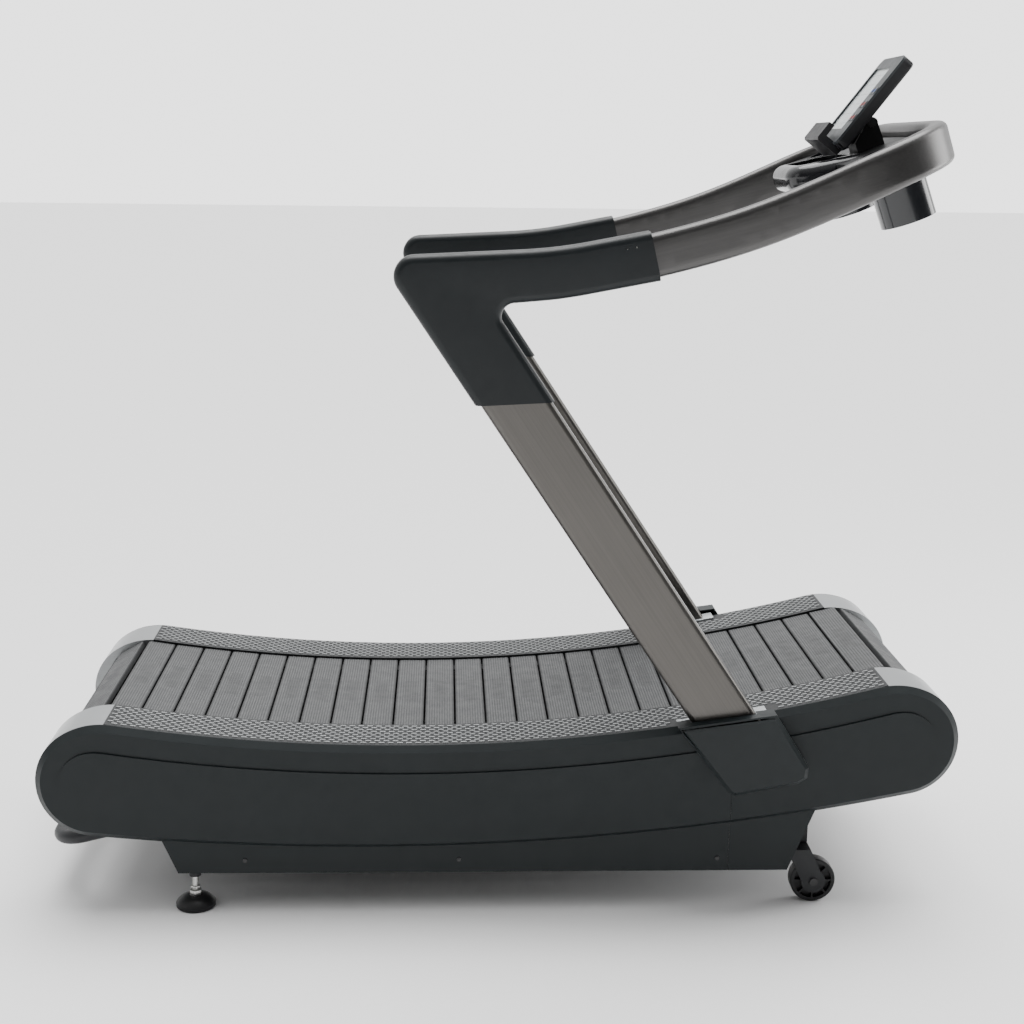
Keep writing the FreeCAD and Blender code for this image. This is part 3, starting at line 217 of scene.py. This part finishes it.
# %% Node group helper
def start_group(name, inputs, outputs):
    """An empty shader node group with named sockets, and its input and output nodes."""
    group = bpy.data.node_groups.new(name, "ShaderNodeTree")
    for label, kind, value in inputs:
        socket = group.interface.new_socket(label, in_out="INPUT", socket_type=kind)
        if value is not None:
            socket.default_value = value
    for label, kind in outputs:
        group.interface.new_socket(label, in_out="OUTPUT", socket_type=kind)
    entry = group.nodes.new("NodeGroupInput")
    exit_node = group.nodes.new("NodeGroupOutput")
    return group, entry, exit_node


def noise_node(tree, vector, scale, detail, roughness=0.5):
    """A noise texture wired to a vector; scale may be a number or a socket."""
    noise = tree.nodes.new("ShaderNodeTexNoise")
    noise.inputs["Detail"].default_value = detail
    noise.inputs["Roughness"].default_value = roughness
    tree.links.new(vector, noise.inputs["Vector"])
    if isinstance(scale, (int, float)):
        noise.inputs["Scale"].default_value = scale
    else:
        tree.links.new(scale, noise.inputs["Scale"])
    return noise.outputs["Fac"]


def math_node(tree, operation, first, second=None):
    """One Math node; each input is a number or a socket."""
    node = tree.nodes.new("ShaderNodeMath")
    node.operation = operation
    for place, value in enumerate((first, second)):
        if value is None:
            continue
        if isinstance(value, (int, float)):
            node.inputs[place].default_value = value
        else:
            tree.links.new(value, node.inputs[place])
    return node.outputs[0]


def mix_colour(tree, share, first, second):
    """Mixes two colours by a share; each input is a colour or a socket."""
    node = tree.nodes.new("ShaderNodeMix")
    node.data_type = "RGBA"
    tree.links.new(share, node.inputs["Factor"])
    for socket, value in ((node.inputs[6], first), (node.inputs[7], second)):
        if isinstance(value, tuple):
            socket.default_value = value
        else:
            tree.links.new(value, socket)
    return node.outputs[2]


def spread(tree, value, low, high, from_low=0.3, from_high=0.7):
    """Maps a noise value onto a range."""
    node = tree.nodes.new("ShaderNodeMapRange")
    node.inputs["From Min"].default_value = from_low
    node.inputs["From Max"].default_value = from_high
    tree.links.new(value, node.inputs["Value"])
    for socket, number in ((node.inputs["To Min"], low), (node.inputs["To Max"], high)):
        if isinstance(number, (int, float)):
            socket.default_value = number
        else:
            tree.links.new(number, socket)
    return node.outputs[0]


# %% Moulded grain
def build_moulded_grain():
    """Fine pebbled grain with slow patches of colour and gloss, for plastic and powder coat."""
    group, entry, out = start_group("Moulded grain", [
        ("Vector", "NodeSocketVector", None), ("Colour", "NodeSocketColor", (0.1, 0.1, 0.1, 1)),
        ("Patch colour", "NodeSocketColor", (0.12, 0.12, 0.12, 1)),
        ("Grain scale", "NodeSocketFloat", 900.0),
        ("Smooth", "NodeSocketFloat", 0.35), ("Rough", "NodeSocketFloat", 0.5)],
        [("Colour", "NodeSocketColor"), ("Roughness", "NodeSocketFloat"), ("Height", "NodeSocketFloat")])
    pebbles = noise_node(group, entry.outputs["Vector"], entry.outputs["Grain scale"], 2.0)
    patches = noise_node(group, entry.outputs["Vector"], 7.0, 4.0, 0.6)
    handled = noise_node(group, entry.outputs["Vector"], 38.0, 3.0, 0.65)
    share = spread(group, patches, 0.0, 1.0)
    colour = mix_colour(group, share, entry.outputs["Colour"], entry.outputs["Patch colour"])
    group.links.new(colour, out.inputs["Colour"])
    gloss = spread(group, handled, entry.outputs["Smooth"], entry.outputs["Rough"])
    group.links.new(gloss, out.inputs["Roughness"])
    group.links.new(pebbles, out.inputs["Height"])
    return group


moulded_grain = build_moulded_grain()
print(moulded_grain.name)

# %% Brushed metal
def build_brushed_metal():
    """Long fine scratches along the vector's X, for brushed and lacquered steel."""
    group, entry, out = start_group("Brushed metal", [
        ("Vector", "NodeSocketVector", None), ("Colour", "NodeSocketColor", (0.3, 0.3, 0.3, 1)),
        ("Scratch colour", "NodeSocketColor", (0.4, 0.4, 0.4, 1)),
        ("Smooth", "NodeSocketFloat", 0.25), ("Rough", "NodeSocketFloat", 0.45)],
        [("Colour", "NodeSocketColor"), ("Roughness", "NodeSocketFloat"), ("Height", "NodeSocketFloat")])
    stretch = group.nodes.new("ShaderNodeMapping")
    stretch.inputs["Scale"].default_value = (3.0, 420.0, 420.0)
    group.links.new(entry.outputs["Vector"], stretch.inputs["Vector"])
    scratches = noise_node(group, stretch.outputs["Vector"], 1.0, 3.0, 0.6)
    patches = noise_node(group, entry.outputs["Vector"], 6.0, 3.0)
    share = spread(group, scratches, 0.0, 1.0)
    colour = mix_colour(group, share, entry.outputs["Colour"], entry.outputs["Scratch colour"])
    group.links.new(colour, out.inputs["Colour"])
    both = math_node(group, "ADD", math_node(group, "MULTIPLY", scratches, 0.6),
                     math_node(group, "MULTIPLY", patches, 0.4))
    gloss = spread(group, both, entry.outputs["Smooth"], entry.outputs["Rough"])
    group.links.new(gloss, out.inputs["Roughness"])
    group.links.new(scratches, out.inputs["Height"])
    return group


brushed_metal = build_brushed_metal()
print(brushed_metal.name)

# %% Raised dots
def build_raised_dots():
    """Rows of small pillows on the vector's X and Y, every other row shifted by half a step."""
    group, entry, out = start_group("Raised dots", [
        ("Vector", "NodeSocketVector", None), ("Step along", "NodeSocketFloat", 0.006),
        ("Step across", "NodeSocketFloat", 0.004)],
        [("Mask", "NodeSocketFloat")])
    split = group.nodes.new("ShaderNodeSeparateXYZ")
    group.links.new(entry.outputs["Vector"], split.inputs[0])
    row = math_node(group, "DIVIDE", split.outputs["Y"], entry.outputs["Step across"])
    row_parity = math_node(group, "FLOORED_MODULO", math_node(group, "FLOOR", row), 2.0)
    odd = math_node(group, "MULTIPLY", row_parity, 0.5)
    along = math_node(group, "DIVIDE", split.outputs["X"], entry.outputs["Step along"])
    step = math_node(group, "ADD", along, odd)
    phase_along = math_node(group, "MULTIPLY", math_node(group, "FRACT", step), math.pi)
    wave_along = math_node(group, "SINE", phase_along)
    phase_across = math_node(group, "MULTIPLY", math_node(group, "FRACT", row), math.pi)
    wave_across = math_node(group, "SINE", phase_across)
    dots = math_node(group, "MULTIPLY", wave_along, wave_across)
    group.links.new(spread(group, dots, 0.0, 1.0, 0.25, 0.75), out.inputs["Mask"])
    return group


raised_dots = build_raised_dots()
print(raised_dots.name)

# %% [markdown]
# ## Finishes
# Each finish is a material named for the piece that wears it. Moulded and coated pieces share one
# recipe: the grain group on Object coordinates, a bump, and a Principled shader whose fixed
# numbers are set on its own sockets. Metal pieces use the brushed group in the same way.

# %% Finish recipes
def start_finish(name):
    """A material with its tree, shader and coordinate node."""
    finish = bpy.data.materials.new(name)
    finish.use_nodes = True
    tree = finish.node_tree
    coordinates = tree.nodes.new("ShaderNodeTexCoord")
    return finish, tree, tree.nodes["Principled BSDF"], coordinates


def use_group(tree, group, vector, **values):
    """Places a group in a material, wired to a vector, with its own values."""
    node = tree.nodes.new("ShaderNodeGroup")
    node.node_tree = group
    tree.links.new(vector, node.inputs["Vector"])
    for label, value in values.items():
        node.inputs[label.replace("_", " ")].default_value = value
    return node


def bump(tree, shader, height, depth, strength=0.6):
    """Feeds a height to the shader's normal; depth is in metres."""
    node = tree.nodes.new("ShaderNodeBump")
    node.inputs["Strength"].default_value = strength
    node.inputs["Distance"].default_value = depth
    tree.links.new(height, node.inputs["Height"])
    tree.links.new(node.outputs["Normal"], shader.inputs["Normal"])
    return node


def tone(colour, factor):
    """A colour made lighter or darker."""
    return tuple(min(1.0, channel * factor) for channel in colour) + (1.0,)


def moulded(name, colour, smooth, rough, grain=900.0, depth=0.00012, coat=0.0, shine=0.3, patch=1.18):
    """Moulded plastic, rubber or powder coat."""
    finish, tree, shader, coordinates = start_finish(name)
    grain_node = use_group(tree, moulded_grain, coordinates.outputs["Object"], Colour=tone(colour, 1.0),
                           Patch_colour=tone(colour, patch), Grain_scale=grain, Smooth=smooth, Rough=rough)
    tree.links.new(grain_node.outputs["Colour"], shader.inputs["Base Color"])
    tree.links.new(grain_node.outputs["Roughness"], shader.inputs["Roughness"])
    bump(tree, shader, grain_node.outputs["Height"], depth)
    shader.inputs["Specular IOR Level"].default_value = shine
    shader.inputs["Coat Weight"].default_value = coat
    shader.inputs["Coat Roughness"].default_value = 0.12
    return finish


def brushed(name, colour, smooth, rough, turn=(0, 0, 0), coat=0.0, depth=0.00004,
            contrast=1.35, metallic=1.0):
    """Brushed or satin metal, with its scratches along X after a turn of the pattern."""
    finish, tree, shader, coordinates = start_finish(name)
    aim = tree.nodes.new("ShaderNodeMapping")
    aim.inputs["Rotation"].default_value = turn
    tree.links.new(coordinates.outputs["Object"], aim.inputs["Vector"])
    metal = use_group(tree, brushed_metal, aim.outputs["Vector"], Colour=tone(colour, 1.0),
                      Scratch_colour=tone(colour, contrast), Smooth=smooth, Rough=rough)
    tree.links.new(metal.outputs["Colour"], shader.inputs["Base Color"])
    tree.links.new(metal.outputs["Roughness"], shader.inputs["Roughness"])
    bump(tree, shader, metal.outputs["Height"], depth, 0.4)
    shader.inputs["Metallic"].default_value = metallic
    shader.inputs["Coat Weight"].default_value = coat
    shader.inputs["Coat Roughness"].default_value = 0.2
    return finish


# %% Plain finishes
finishes = {
    "belt_band": moulded("Belt band rubber", (0.022, 0.022, 0.023), 0.55, 0.75),
    "drive_pulley": moulded("Pulley nylon", (0.05, 0.05, 0.053), 0.4, 0.55),
    "base_frame_paint": moulded("Frame powder coat", (0.02, 0.021, 0.023), 0.38, 0.55, 700.0, 0.0003),
    "track_black": moulded("Track paint", (0.028, 0.028, 0.03), 0.35, 0.5),
    "side_cover_plastic": moulded("Side cover plastic", (0.0085, 0.0118, 0.0128),
                                  0.36, 0.46, 1100.0, 0.00010, shine=0.22),
    "base_cover_plastic": moulded("Base cover plastic", (0.0080, 0.0112, 0.0122),
                                  0.34, 0.44, 1100.0, 0.00010, shine=0.24),
    "elbow_plastic": moulded("Elbow cover plastic", (0.0078, 0.0100, 0.0112),
                             0.32, 0.44, 1000.0, 0.00010, shine=0.28),
    "console_black": moulded("Console plate plastic", (0.012, 0.012, 0.013), 0.35, 0.5),
    "monitor_black": moulded("Monitor shell plastic", (0.022, 0.022, 0.024), 0.36, 0.5, 1300.0, 0.00015),
    "bezel_grey": moulded("Monitor bezel plastic", (0.045, 0.05, 0.054), 0.3, 0.42),
    "console_gloss": moulded("Tray pod gloss", (0.009, 0.0095, 0.011), 0.16, 0.26, 300.0, 0.00004, 0.5),
    "cup_gloss": moulded("Cup gloss", (0.008, 0.009, 0.011), 0.14, 0.24, 300.0, 0.00004, 0.6),
    "key_grey": moulded("Key top", (0.16, 0.165, 0.17), 0.4, 0.5),
    "wheel_tyre": moulded("Wheel nylon", (0.014, 0.014, 0.015), 0.33, 0.48, 800.0, 0.0002),
    "pad_rubber": moulded("Foot pad rubber", (0.011, 0.011, 0.012), 0.32, 0.5, 500.0, 0.0003),
    "board_green": moulded("Circuit board", (0.012, 0.09, 0.04), 0.3, 0.45),
    "end_cap_silver": brushed("End cap silver", (0.27, 0.28, 0.285), 0.30, 0.42, contrast=1.12, metallic=0.6,
                              coat=0.3),
    "black_screw": moulded("Blackened steel", (0.016, 0.016, 0.017), 0.25, 0.4, shine=0.5),
    "zinc_steel": brushed("Zinc plate", (0.60, 0.60, 0.58), 0.22, 0.36, contrast=1.15),
    "handrail_metal": brushed("Handrail gunmetal", (0.075, 0.073, 0.072), 0.27, 0.36, (0, 0.25, 0), 0.12,
                              contrast=1.12, metallic=0.85),
    "upright_metal": brushed("Upright gunmetal", (0.086, 0.081, 0.075), 0.27, 0.38, (0, -0.981, 0), 0.15,
                             contrast=1.22, metallic=0.88),
}
print("plain finishes", len(finishes))

# %% [markdown]
# ### Slats, grips and glass
# The slats have a woven look: rows of tiny pillows that are paler at their tops, and a smoother
# plain band across the middle. The pattern must turn with each slat round the drums, so it is laid
# out on a UV map in metres that is made from each slat's own place on its arc. The grip dashes
# are real raised pieces, so their finish only needs grain and paler, worn tops.

# %% Slat rubber
def slat_rubber():
    """Grey rubber with rows of dots from the UV map, and a plain band in the middle."""
    finish, tree, shader, coordinates = start_finish("Slat rubber")
    layout = tree.nodes.new("ShaderNodeUVMap")
    layout.uv_map = "tread"
    dots = use_group(tree, raised_dots, layout.outputs["UV"], Step_along=0.0074, Step_across=0.0052)
    grain = use_group(tree, moulded_grain, coordinates.outputs["Object"], Colour=(0.012, 0.013, 0.014, 1),
                      Patch_colour=(0.019, 0.020, 0.021, 1), Grain_scale=1500.0, Smooth=0.48, Rough=0.66)
    split = tree.nodes.new("ShaderNodeSeparateXYZ")
    tree.links.new(layout.outputs["UV"], split.inputs[0])
    from_middle = math_node(tree, "ABSOLUTE", split.outputs["X"])
    across = math_node(tree, "ABSOLUTE", split.outputs["Y"])
    outside = spread(tree, from_middle, 0.55, 1.0, 0.066, 0.070)
    outside = math_node(tree, "MAXIMUM", outside, spread(tree, across, 0.55, 1.0, 0.0125, 0.0135))
    rim = spread(tree, across, 1.0, 0.0, 0.0265, 0.0272)
    mask = math_node(tree, "MULTIPLY", math_node(tree, "MULTIPLY", dots.outputs["Mask"], outside), rim)
    colour = mix_colour(tree, mask, grain.outputs["Colour"], (0.088, 0.091, 0.093, 1))
    tree.links.new(colour, shader.inputs["Base Color"])
    tree.links.new(grain.outputs["Roughness"], shader.inputs["Roughness"])
    height = math_node(tree, "ADD", mask, math_node(tree, "MULTIPLY", grain.outputs["Height"], 0.15))
    bump(tree, shader, height, 0.0006, 0.7)
    return finish


finishes["slat_rubber"] = slat_rubber()
finishes["foot_rail_grip"] = moulded("Foot rail base", (0.009, 0.010, 0.011), 0.36, 0.5, 900.0, 0.0002)
grip_finish = brushed("Grip dash grey", (0.42, 0.43, 0.435), 0.30, 0.45, contrast=1.25, metallic=0.35)
print("slat finish", finishes["slat_rubber"].name)


# %% Clear lens and display
def clear_lens():
    """Polished acrylic over the display."""
    finish, tree, shader, coordinates = start_finish("Clear lens")
    haze = noise_node(tree, coordinates.outputs["Object"], 120.0, 2.0)
    tree.links.new(spread(tree, haze, 0.02, 0.06), shader.inputs["Roughness"])
    shader.inputs["Base Color"].default_value = (0.96, 0.98, 0.98, 1)
    shader.inputs["Transmission Weight"].default_value = 1.0
    shader.inputs["IOR"].default_value = 1.2
    return finish


finishes["screen_clear"] = clear_lens()
print("finishes", len(finishes))

# %% [markdown]
# ## Carrying over the measured parts
# The model's meshes are loose triangles, which shade as flat facets. A copy of each part has its
# doubled corners merged and its flat faces joined again, and only edges sharper than a given
# angle are kept crisp, so a bow shades as one smooth sweep and a cover keeps its creases. The copy
# stands in for the part and moves with the same body.

# %% Merged copies
def merged_shape(part):
    """A bmesh of a part with its corners merged."""
    shape = bmesh.new()
    shape.from_mesh(parts[part].data)
    bmesh.ops.remove_doubles(shape, verts=shape.verts, dist=0.00002)
    bmesh.ops.dissolve_degenerate(shape, edges=shape.edges, dist=0.00001)
    return shape


def shade(shape, crease):
    """Smooth shading, with edges sharper than crease degrees kept crisp."""
    for face in shape.faces:
        face.smooth = True
    for edge in shape.edges:
        flat = len(edge.link_faces) == 2 and edge.calc_face_angle(0.0) < math.radians(crease)
        edge.smooth = flat


def finish_piece(shape, name, body, finish):
    """Makes an object of a bmesh, at the origin, on a body and with a finish."""
    mesh = bpy.data.meshes.new(name)
    shape.to_mesh(mesh)
    shape.free()
    mesh.materials.append(finish)
    piece = bpy.data.objects.new(name, mesh)
    bpy.context.scene.collection.objects.link(piece)
    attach(piece, body)
    return piece


def carry(part, crease=28.0, finish=None):
    """A merged, smoothly shaded stand-in for a part."""
    shape = merged_shape(part)
    shade(shape, crease)
    slot = slot_of_part[part]
    piece = finish_piece(shape, "fine_" + part, body_of_part[part], finish or finishes[slot])
    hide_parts(part)
    return piece


# %% [markdown]
# ## Slats
# Every slat is the same rubber moulding on an arc: under the feet, round a drum, or on the way
# back below. Its pattern is laid out from its own middle, so the plain band and the dots sit
# in the same place on each one. The arc centres are the model's own joints.

# %% Slats
def islands(shape):
    """Groups of connected vertices, one group for each separate slat."""
    waiting = set(shape.verts)
    groups = []
    while waiting:
        seed = waiting.pop()
        group = [seed]
        stack = [seed]
        while stack:
            vertex = stack.pop()
            for edge in vertex.link_edges:
                other = edge.other_vert(vertex)
                if other in waiting:
                    waiting.discard(other)
                    group.append(other)
                    stack.append(other)
        groups.append(group)
    return groups


def lay_out_tread(shape, centre):
    """UV map in metres: X along the slat from its middle, Y across it round its arc."""
    layer = shape.loops.layers.uv.new("tread")
    for group in islands(shape):
        spread_out = [Vector((v.co.x - centre.x, v.co.z - centre.z)) for v in group]
        mean = sum(spread_out, Vector((0, 0))) / len(spread_out)
        radius = mean.length
        for vertex in group:
            arm = Vector((vertex.co.x - centre.x, vertex.co.z - centre.z))
            across = mean.angle_signed(arm) * radius
            for loop in vertex.link_loops:
                loop[layer].uv = (vertex.co.y, across)
    return len(islands(shape))


slat_runs = {
    "top": "belt_run",
    "front": "belt_front_turn",
    "return": "belt_return_run",
    "rear": "belt_rear_turn",
}
for run, joint in slat_runs.items():
    part = "slats_" + run
    shape = merged_shape(part)
    count = lay_out_tread(shape, Vector(joints[joint]["pos_m"]))
    shade(shape, 30.0)
    piece = finish_piece(shape, "fine_" + part, body_of_part[part], finishes["slat_rubber"])
    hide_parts(part)
    print(run, "slats", count)

# %% All other measured parts
crisp = {"display_board": 20.0, "upright_base_cover_left": 22.0, "upright_base_cover_right": 22.0}
for part in sorted(parts):
    if part.startswith("slats_"):
        continue
    carry(part, crisp.get(part, 30.0))
print("carried over", len(parts) - 4)

# %% [markdown]
# ## Grip dashes on the foot rails
# Each foot rail is covered with short raised dashes in staggered rows, so a foot can't slip
# sideways. One dash is a tapered block made from a cube whose top is pulled in. It is copied
# into every place on the deck's arc, except where a post comes through.

# %% Grip dashes
deck_centre = Vector(joints["belt_run"]["pos_m"])
deck_radius = 3.7425
rail_low, rail_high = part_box("foot_rail_left")
post_low, post_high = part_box("upright_left")


def one_dash(shape, x, y, long, wide, rise):
    """Adds a tapered dash to a bmesh, standing on the deck's arc at a place."""
    made = bmesh.ops.create_cube(shape, size=1.0)["verts"]
    bmesh.ops.scale(shape, vec=(long, wide, rise + 0.001), verts=made)
    top = [vertex for vertex in made if vertex.co.z > 0]
    bmesh.ops.scale(shape, vec=(0.82, 0.62, 1.0), verts=top)
    turn = math.asin((x - deck_centre.x) / deck_radius)
    surface = Vector((x, y, deck_centre.z - deck_radius * math.cos(turn)))
    lift = Vector((-math.sin(turn), 0, math.cos(turn))) * (rise / 2 - 0.0005)
    bmesh.ops.rotate(shape, cent=(0, 0, 0), matrix=Matrix.Rotation(-turn, 3, "Y"), verts=made)
    bmesh.ops.translate(shape, vec=surface + lift, verts=made)


def in_post(x, y, side):
    """True where the post or its collar covers the rail."""
    return y * side > 0.300 and 0.328 < x < 0.540


def grip_field(side):
    """All the dashes of one rail."""
    shape = bmesh.new()
    step = 0.0176
    rows = 10
    pitch = (rail_high.y - rail_low.y - 0.012) / rows
    for row in range(rows):
        y = (rail_low.y + 0.007 + pitch * (row + 0.5)) * side
        x = rail_low.x + 0.012 + (step / 2 if row % 2 else 0)
        while x < rail_high.x - 0.010:
            if not in_post(x, y, side):
                one_dash(shape, x, y, step * 0.72, pitch * 0.36, 0.0016)
            x += step
    name = "grip_dashes_left" if side > 0 else "grip_dashes_right"
    count = len(shape.verts) // 8
    finish_piece(shape, name, "base", grip_finish)
    print(name, count)


grip_field(1)
grip_field(-1)

# %% [markdown]
# ## Collars round the posts
# Where a post comes up through the foot rail, a pale collar plate hides the cut-out. It is three
# short bars on the rail's arc: one behind the post, one in front and one along its inner side.
# Each bar is a cube scaled to its size, bevelled, and tipped to the slope of the deck.

# %% Small shape helpers
def deck_point(x, y):
    """A point of the foot rail's surface and the deck's turn there."""
    turn = math.asin((x - deck_centre.x) / deck_radius)
    return Vector((x, y, deck_centre.z - deck_radius * math.cos(turn))), turn


def bevelled_bar(shape, size, width, segments=2):
    """Adds a cube scaled to a size, with its edges bevelled, at the origin; gives its vertices."""
    before = set(shape.verts)
    made = bmesh.ops.create_cube(shape, size=1.0)["verts"]
    bmesh.ops.scale(shape, vec=size, verts=made)
    edges = list({edge for vertex in made for edge in vertex.link_edges})
    bmesh.ops.bevel(shape, geom=edges, offset=width, segments=segments, profile=0.5,
                    affect="EDGES", material=-1)
    return [vertex for vertex in shape.verts if vertex not in before]


def screw_head(shape, place, facing, radius, rise, sides=20):
    """Adds a domed screw head with a round driver recess, its back at a place."""
    before = set(shape.verts)
    bmesh.ops.create_cone(shape, cap_ends=True, segments=sides, radius1=radius,
                          radius2=radius * 0.78, depth=rise)
    made = [vertex for vertex in shape.verts if vertex not in before]
    top = [face for face in shape.faces if face.normal.z > 0.9 and face.verts[0] in made]
    bmesh.ops.inset_region(shape, faces=top, thickness=radius * 0.32)
    bmesh.ops.translate(shape, vec=(0, 0, -rise * 0.6), verts=[v for face in top for v in face.verts])
    made = [vertex for vertex in shape.verts if vertex not in before]
    turn = Vector((0, 0, 1)).rotation_difference(Vector(facing)).to_matrix()
    bmesh.ops.translate(shape, vec=(0, 0, rise / 2), verts=made)
    bmesh.ops.rotate(shape, cent=(0, 0, 0), matrix=turn, verts=made)
    bmesh.ops.translate(shape, vec=place, verts=made)


# %% Post collars
collar_finish = brushed("Collar plate", (0.42, 0.44, 0.45), 0.3, 0.42, contrast=1.1, metallic=0.3)


def post_collar(side):
    """The collar plate round one post's foot."""
    shape = bmesh.new()
    bars = [(0.342, 0.351, 0.309, 0.350), (0.489, 0.514, 0.309, 0.350), (0.342, 0.514, 0.309, 0.3165)]
    for x0, x1, y0, y1 in bars:
        surface, turn = deck_point((x0 + x1) / 2, side * (y0 + y1) / 2)
        made = bevelled_bar(shape, (x1 - x0, y1 - y0, 0.004), 0.0010)
        bmesh.ops.rotate(shape, cent=(0, 0, 0), matrix=Matrix.Rotation(-turn, 3, "Y"), verts=made)
        bmesh.ops.translate(shape, vec=surface + Vector((0, 0, 0.0018)), verts=made)
    shade(shape, 40.0)
    name = "post_collar_left" if side > 0 else "post_collar_right"
    finish_piece(shape, name, "base", collar_finish)
    print(name, "bars", len(bars))


post_collar(1)
post_collar(-1)

# %% [markdown]
# ## Screws and nuts
# Small fasteners tell the eye how big the machine is. A head is a short cone whose top face is
# inset and pushed in for the driver. The levelling feet get a hexagon nut, which is a cone with
# only six sides.

# %% Fasteners
cover_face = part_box("rear_cover_left")[1].y - 0.004
elbow_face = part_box("elbow_lower_cover_left")[1].y
for side, name in ((1, "left"), (-1, "right")):
    shape = bmesh.new()
    for x, z in ((0.462, 0.246), (0.528, 0.262)):
        screw_head(shape, Vector((x, side * (cover_face - 0.0035), z)), (0, side, 0), 0.0048, 0.0042)
    shade(shape, 40.0)
    finish_piece(shape, "base_cover_screws_" + name, "base", finishes["black_screw"])
    shape = bmesh.new()
    for x, z in ((0.216, 1.2900), (0.232, 1.2935)):
        screw_head(shape, Vector((x, side * (elbow_face - 0.0004), z)), (0, side, 0), 0.0016, 0.0010, 12)
    shade(shape, 40.0)
    finish_piece(shape, "elbow_screws_" + name, "base", finishes["zinc_steel"])
    shape = bmesh.new()
    pad_low, pad_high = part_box("foot_pad_" + name)
    foot = Vector(((pad_low.x + pad_high.x) / 2, (pad_low.y + pad_high.y) / 2, pad_high.z))
    for lift, radius, tall in ((0.006, 0.0125, 0.011), (0.018, 0.0105, 0.004)):
        before = set(shape.verts)
        bmesh.ops.create_cone(shape, cap_ends=True, segments=6, radius1=radius, radius2=radius, depth=tall)
        made = [vertex for vertex in shape.verts if vertex not in before]
        bmesh.ops.translate(shape, vec=foot + Vector((0, 0, lift - 0.001)), verts=made)
    bmesh.ops.bevel(shape, geom=list(shape.edges), offset=0.0008, segments=2, profile=0.5, affect="EDGES",
                    material=-1)
    shade(shape, 30.0)
    finish_piece(shape, "foot_nut_" + name, "foot_" + name, finishes["zinc_steel"])
print("fasteners on both sides")

# %% [markdown]
# ## Display and key marks
# Behind the clear lens lies a pale display sheet with a few thin rules, and no lettering. Each
# key carries one small coloured mark that moves with it. The sheet is a copy of the lens moved
# back along the screen's own normal. Its slight glow is painted light.

# %% Display
screen_lean = math.radians(52.4)
screen_out = Vector((-math.sin(screen_lean), 0, math.cos(screen_lean)))
screen_up = Vector((math.cos(screen_lean), 0, math.sin(screen_lean)))


def display_sheet_with_painted_glow():
    """Pale sheet with thin grey rules that part it into plain fields, and a painted glow that no lamp gives."""
    finish, tree, shader, coordinates = start_finish("Display sheet with painted glow")
    aim = tree.nodes.new("ShaderNodeMapping")
    aim.inputs["Rotation"].default_value = (0, screen_lean, 0)
    tree.links.new(coordinates.outputs["Object"], aim.inputs["Vector"])
    split = tree.nodes.new("ShaderNodeSeparateXYZ")
    tree.links.new(aim.outputs["Vector"], split.inputs[0])
    up_rule = math_node(tree, "FRACT", math_node(tree, "DIVIDE", split.outputs["X"], 0.0235))
    across = math_node(tree, "DIVIDE", split.outputs["Y"], 0.034)
    side_rule = math_node(tree, "FRACT", math_node(tree, "ADD", across, 0.5))
    rules = math_node(tree, "MINIMUM", spread(tree, up_rule, 0.0, 1.0, 0.03, 0.06),
                      spread(tree, side_rule, 0.0, 1.0, 0.02, 0.04))
    tint = noise_node(tree, coordinates.outputs["Object"], 60.0, 2.0)
    pale = mix_colour(tree, spread(tree, tint, 0.0, 1.0), (0.66, 0.69, 0.69, 1), (0.76, 0.78, 0.78, 1))
    colour = mix_colour(tree, rules, (0.16, 0.18, 0.19, 1), pale)
    tree.links.new(colour, shader.inputs["Base Color"])
    tree.links.new(spread(tree, tint, 0.35, 0.5), shader.inputs["Roughness"])
    # Painted glow: the sheet's own colour goes to emission, so it shines though nothing lights it.
    tree.links.new(colour, shader.inputs["Emission Color"])
    shader.inputs["Emission Strength"].default_value = 0.6
    return finish


shape = merged_shape("screen_lens")
bmesh.ops.translate(shape, vec=screen_out * -0.0024, verts=shape.verts)
shade(shape, 30.0)
finish_piece(shape, "display_sheet", "monitor", display_sheet_with_painted_glow())
print("display sheet")

# %% Key marks
mark_tints = {"1": (0.55, 0.03, 0.03), "2": (0.5, 0.05, 0.04), "3": (0.03, 0.12, 0.45)}
mark_finishes = {}
for number, tint in mark_tints.items():
    mark_finishes[number] = moulded("Key mark " + number, tint, 0.3, 0.42, shine=0.5)
for side in ("left", "right"):
    for number in "123":
        key = f"key_{side}_{number}"
        low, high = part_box(key)
        shape = bmesh.new()
        made = bevelled_bar(shape, (0.0075, 0.0050, 0.0008), 0.0003, 1)
        bmesh.ops.rotate(shape, cent=(0, 0, 0), matrix=Matrix.Rotation(-screen_lean, 3, "Y"), verts=made)
        top = (low + high) / 2 + screen_out * 0.0043
        bmesh.ops.translate(shape, vec=top, verts=made)
        shade(shape, 30.0)
        finish_piece(shape, f"key_mark_{side}_{number}", key, mark_finishes[number])
print("key marks", 6)
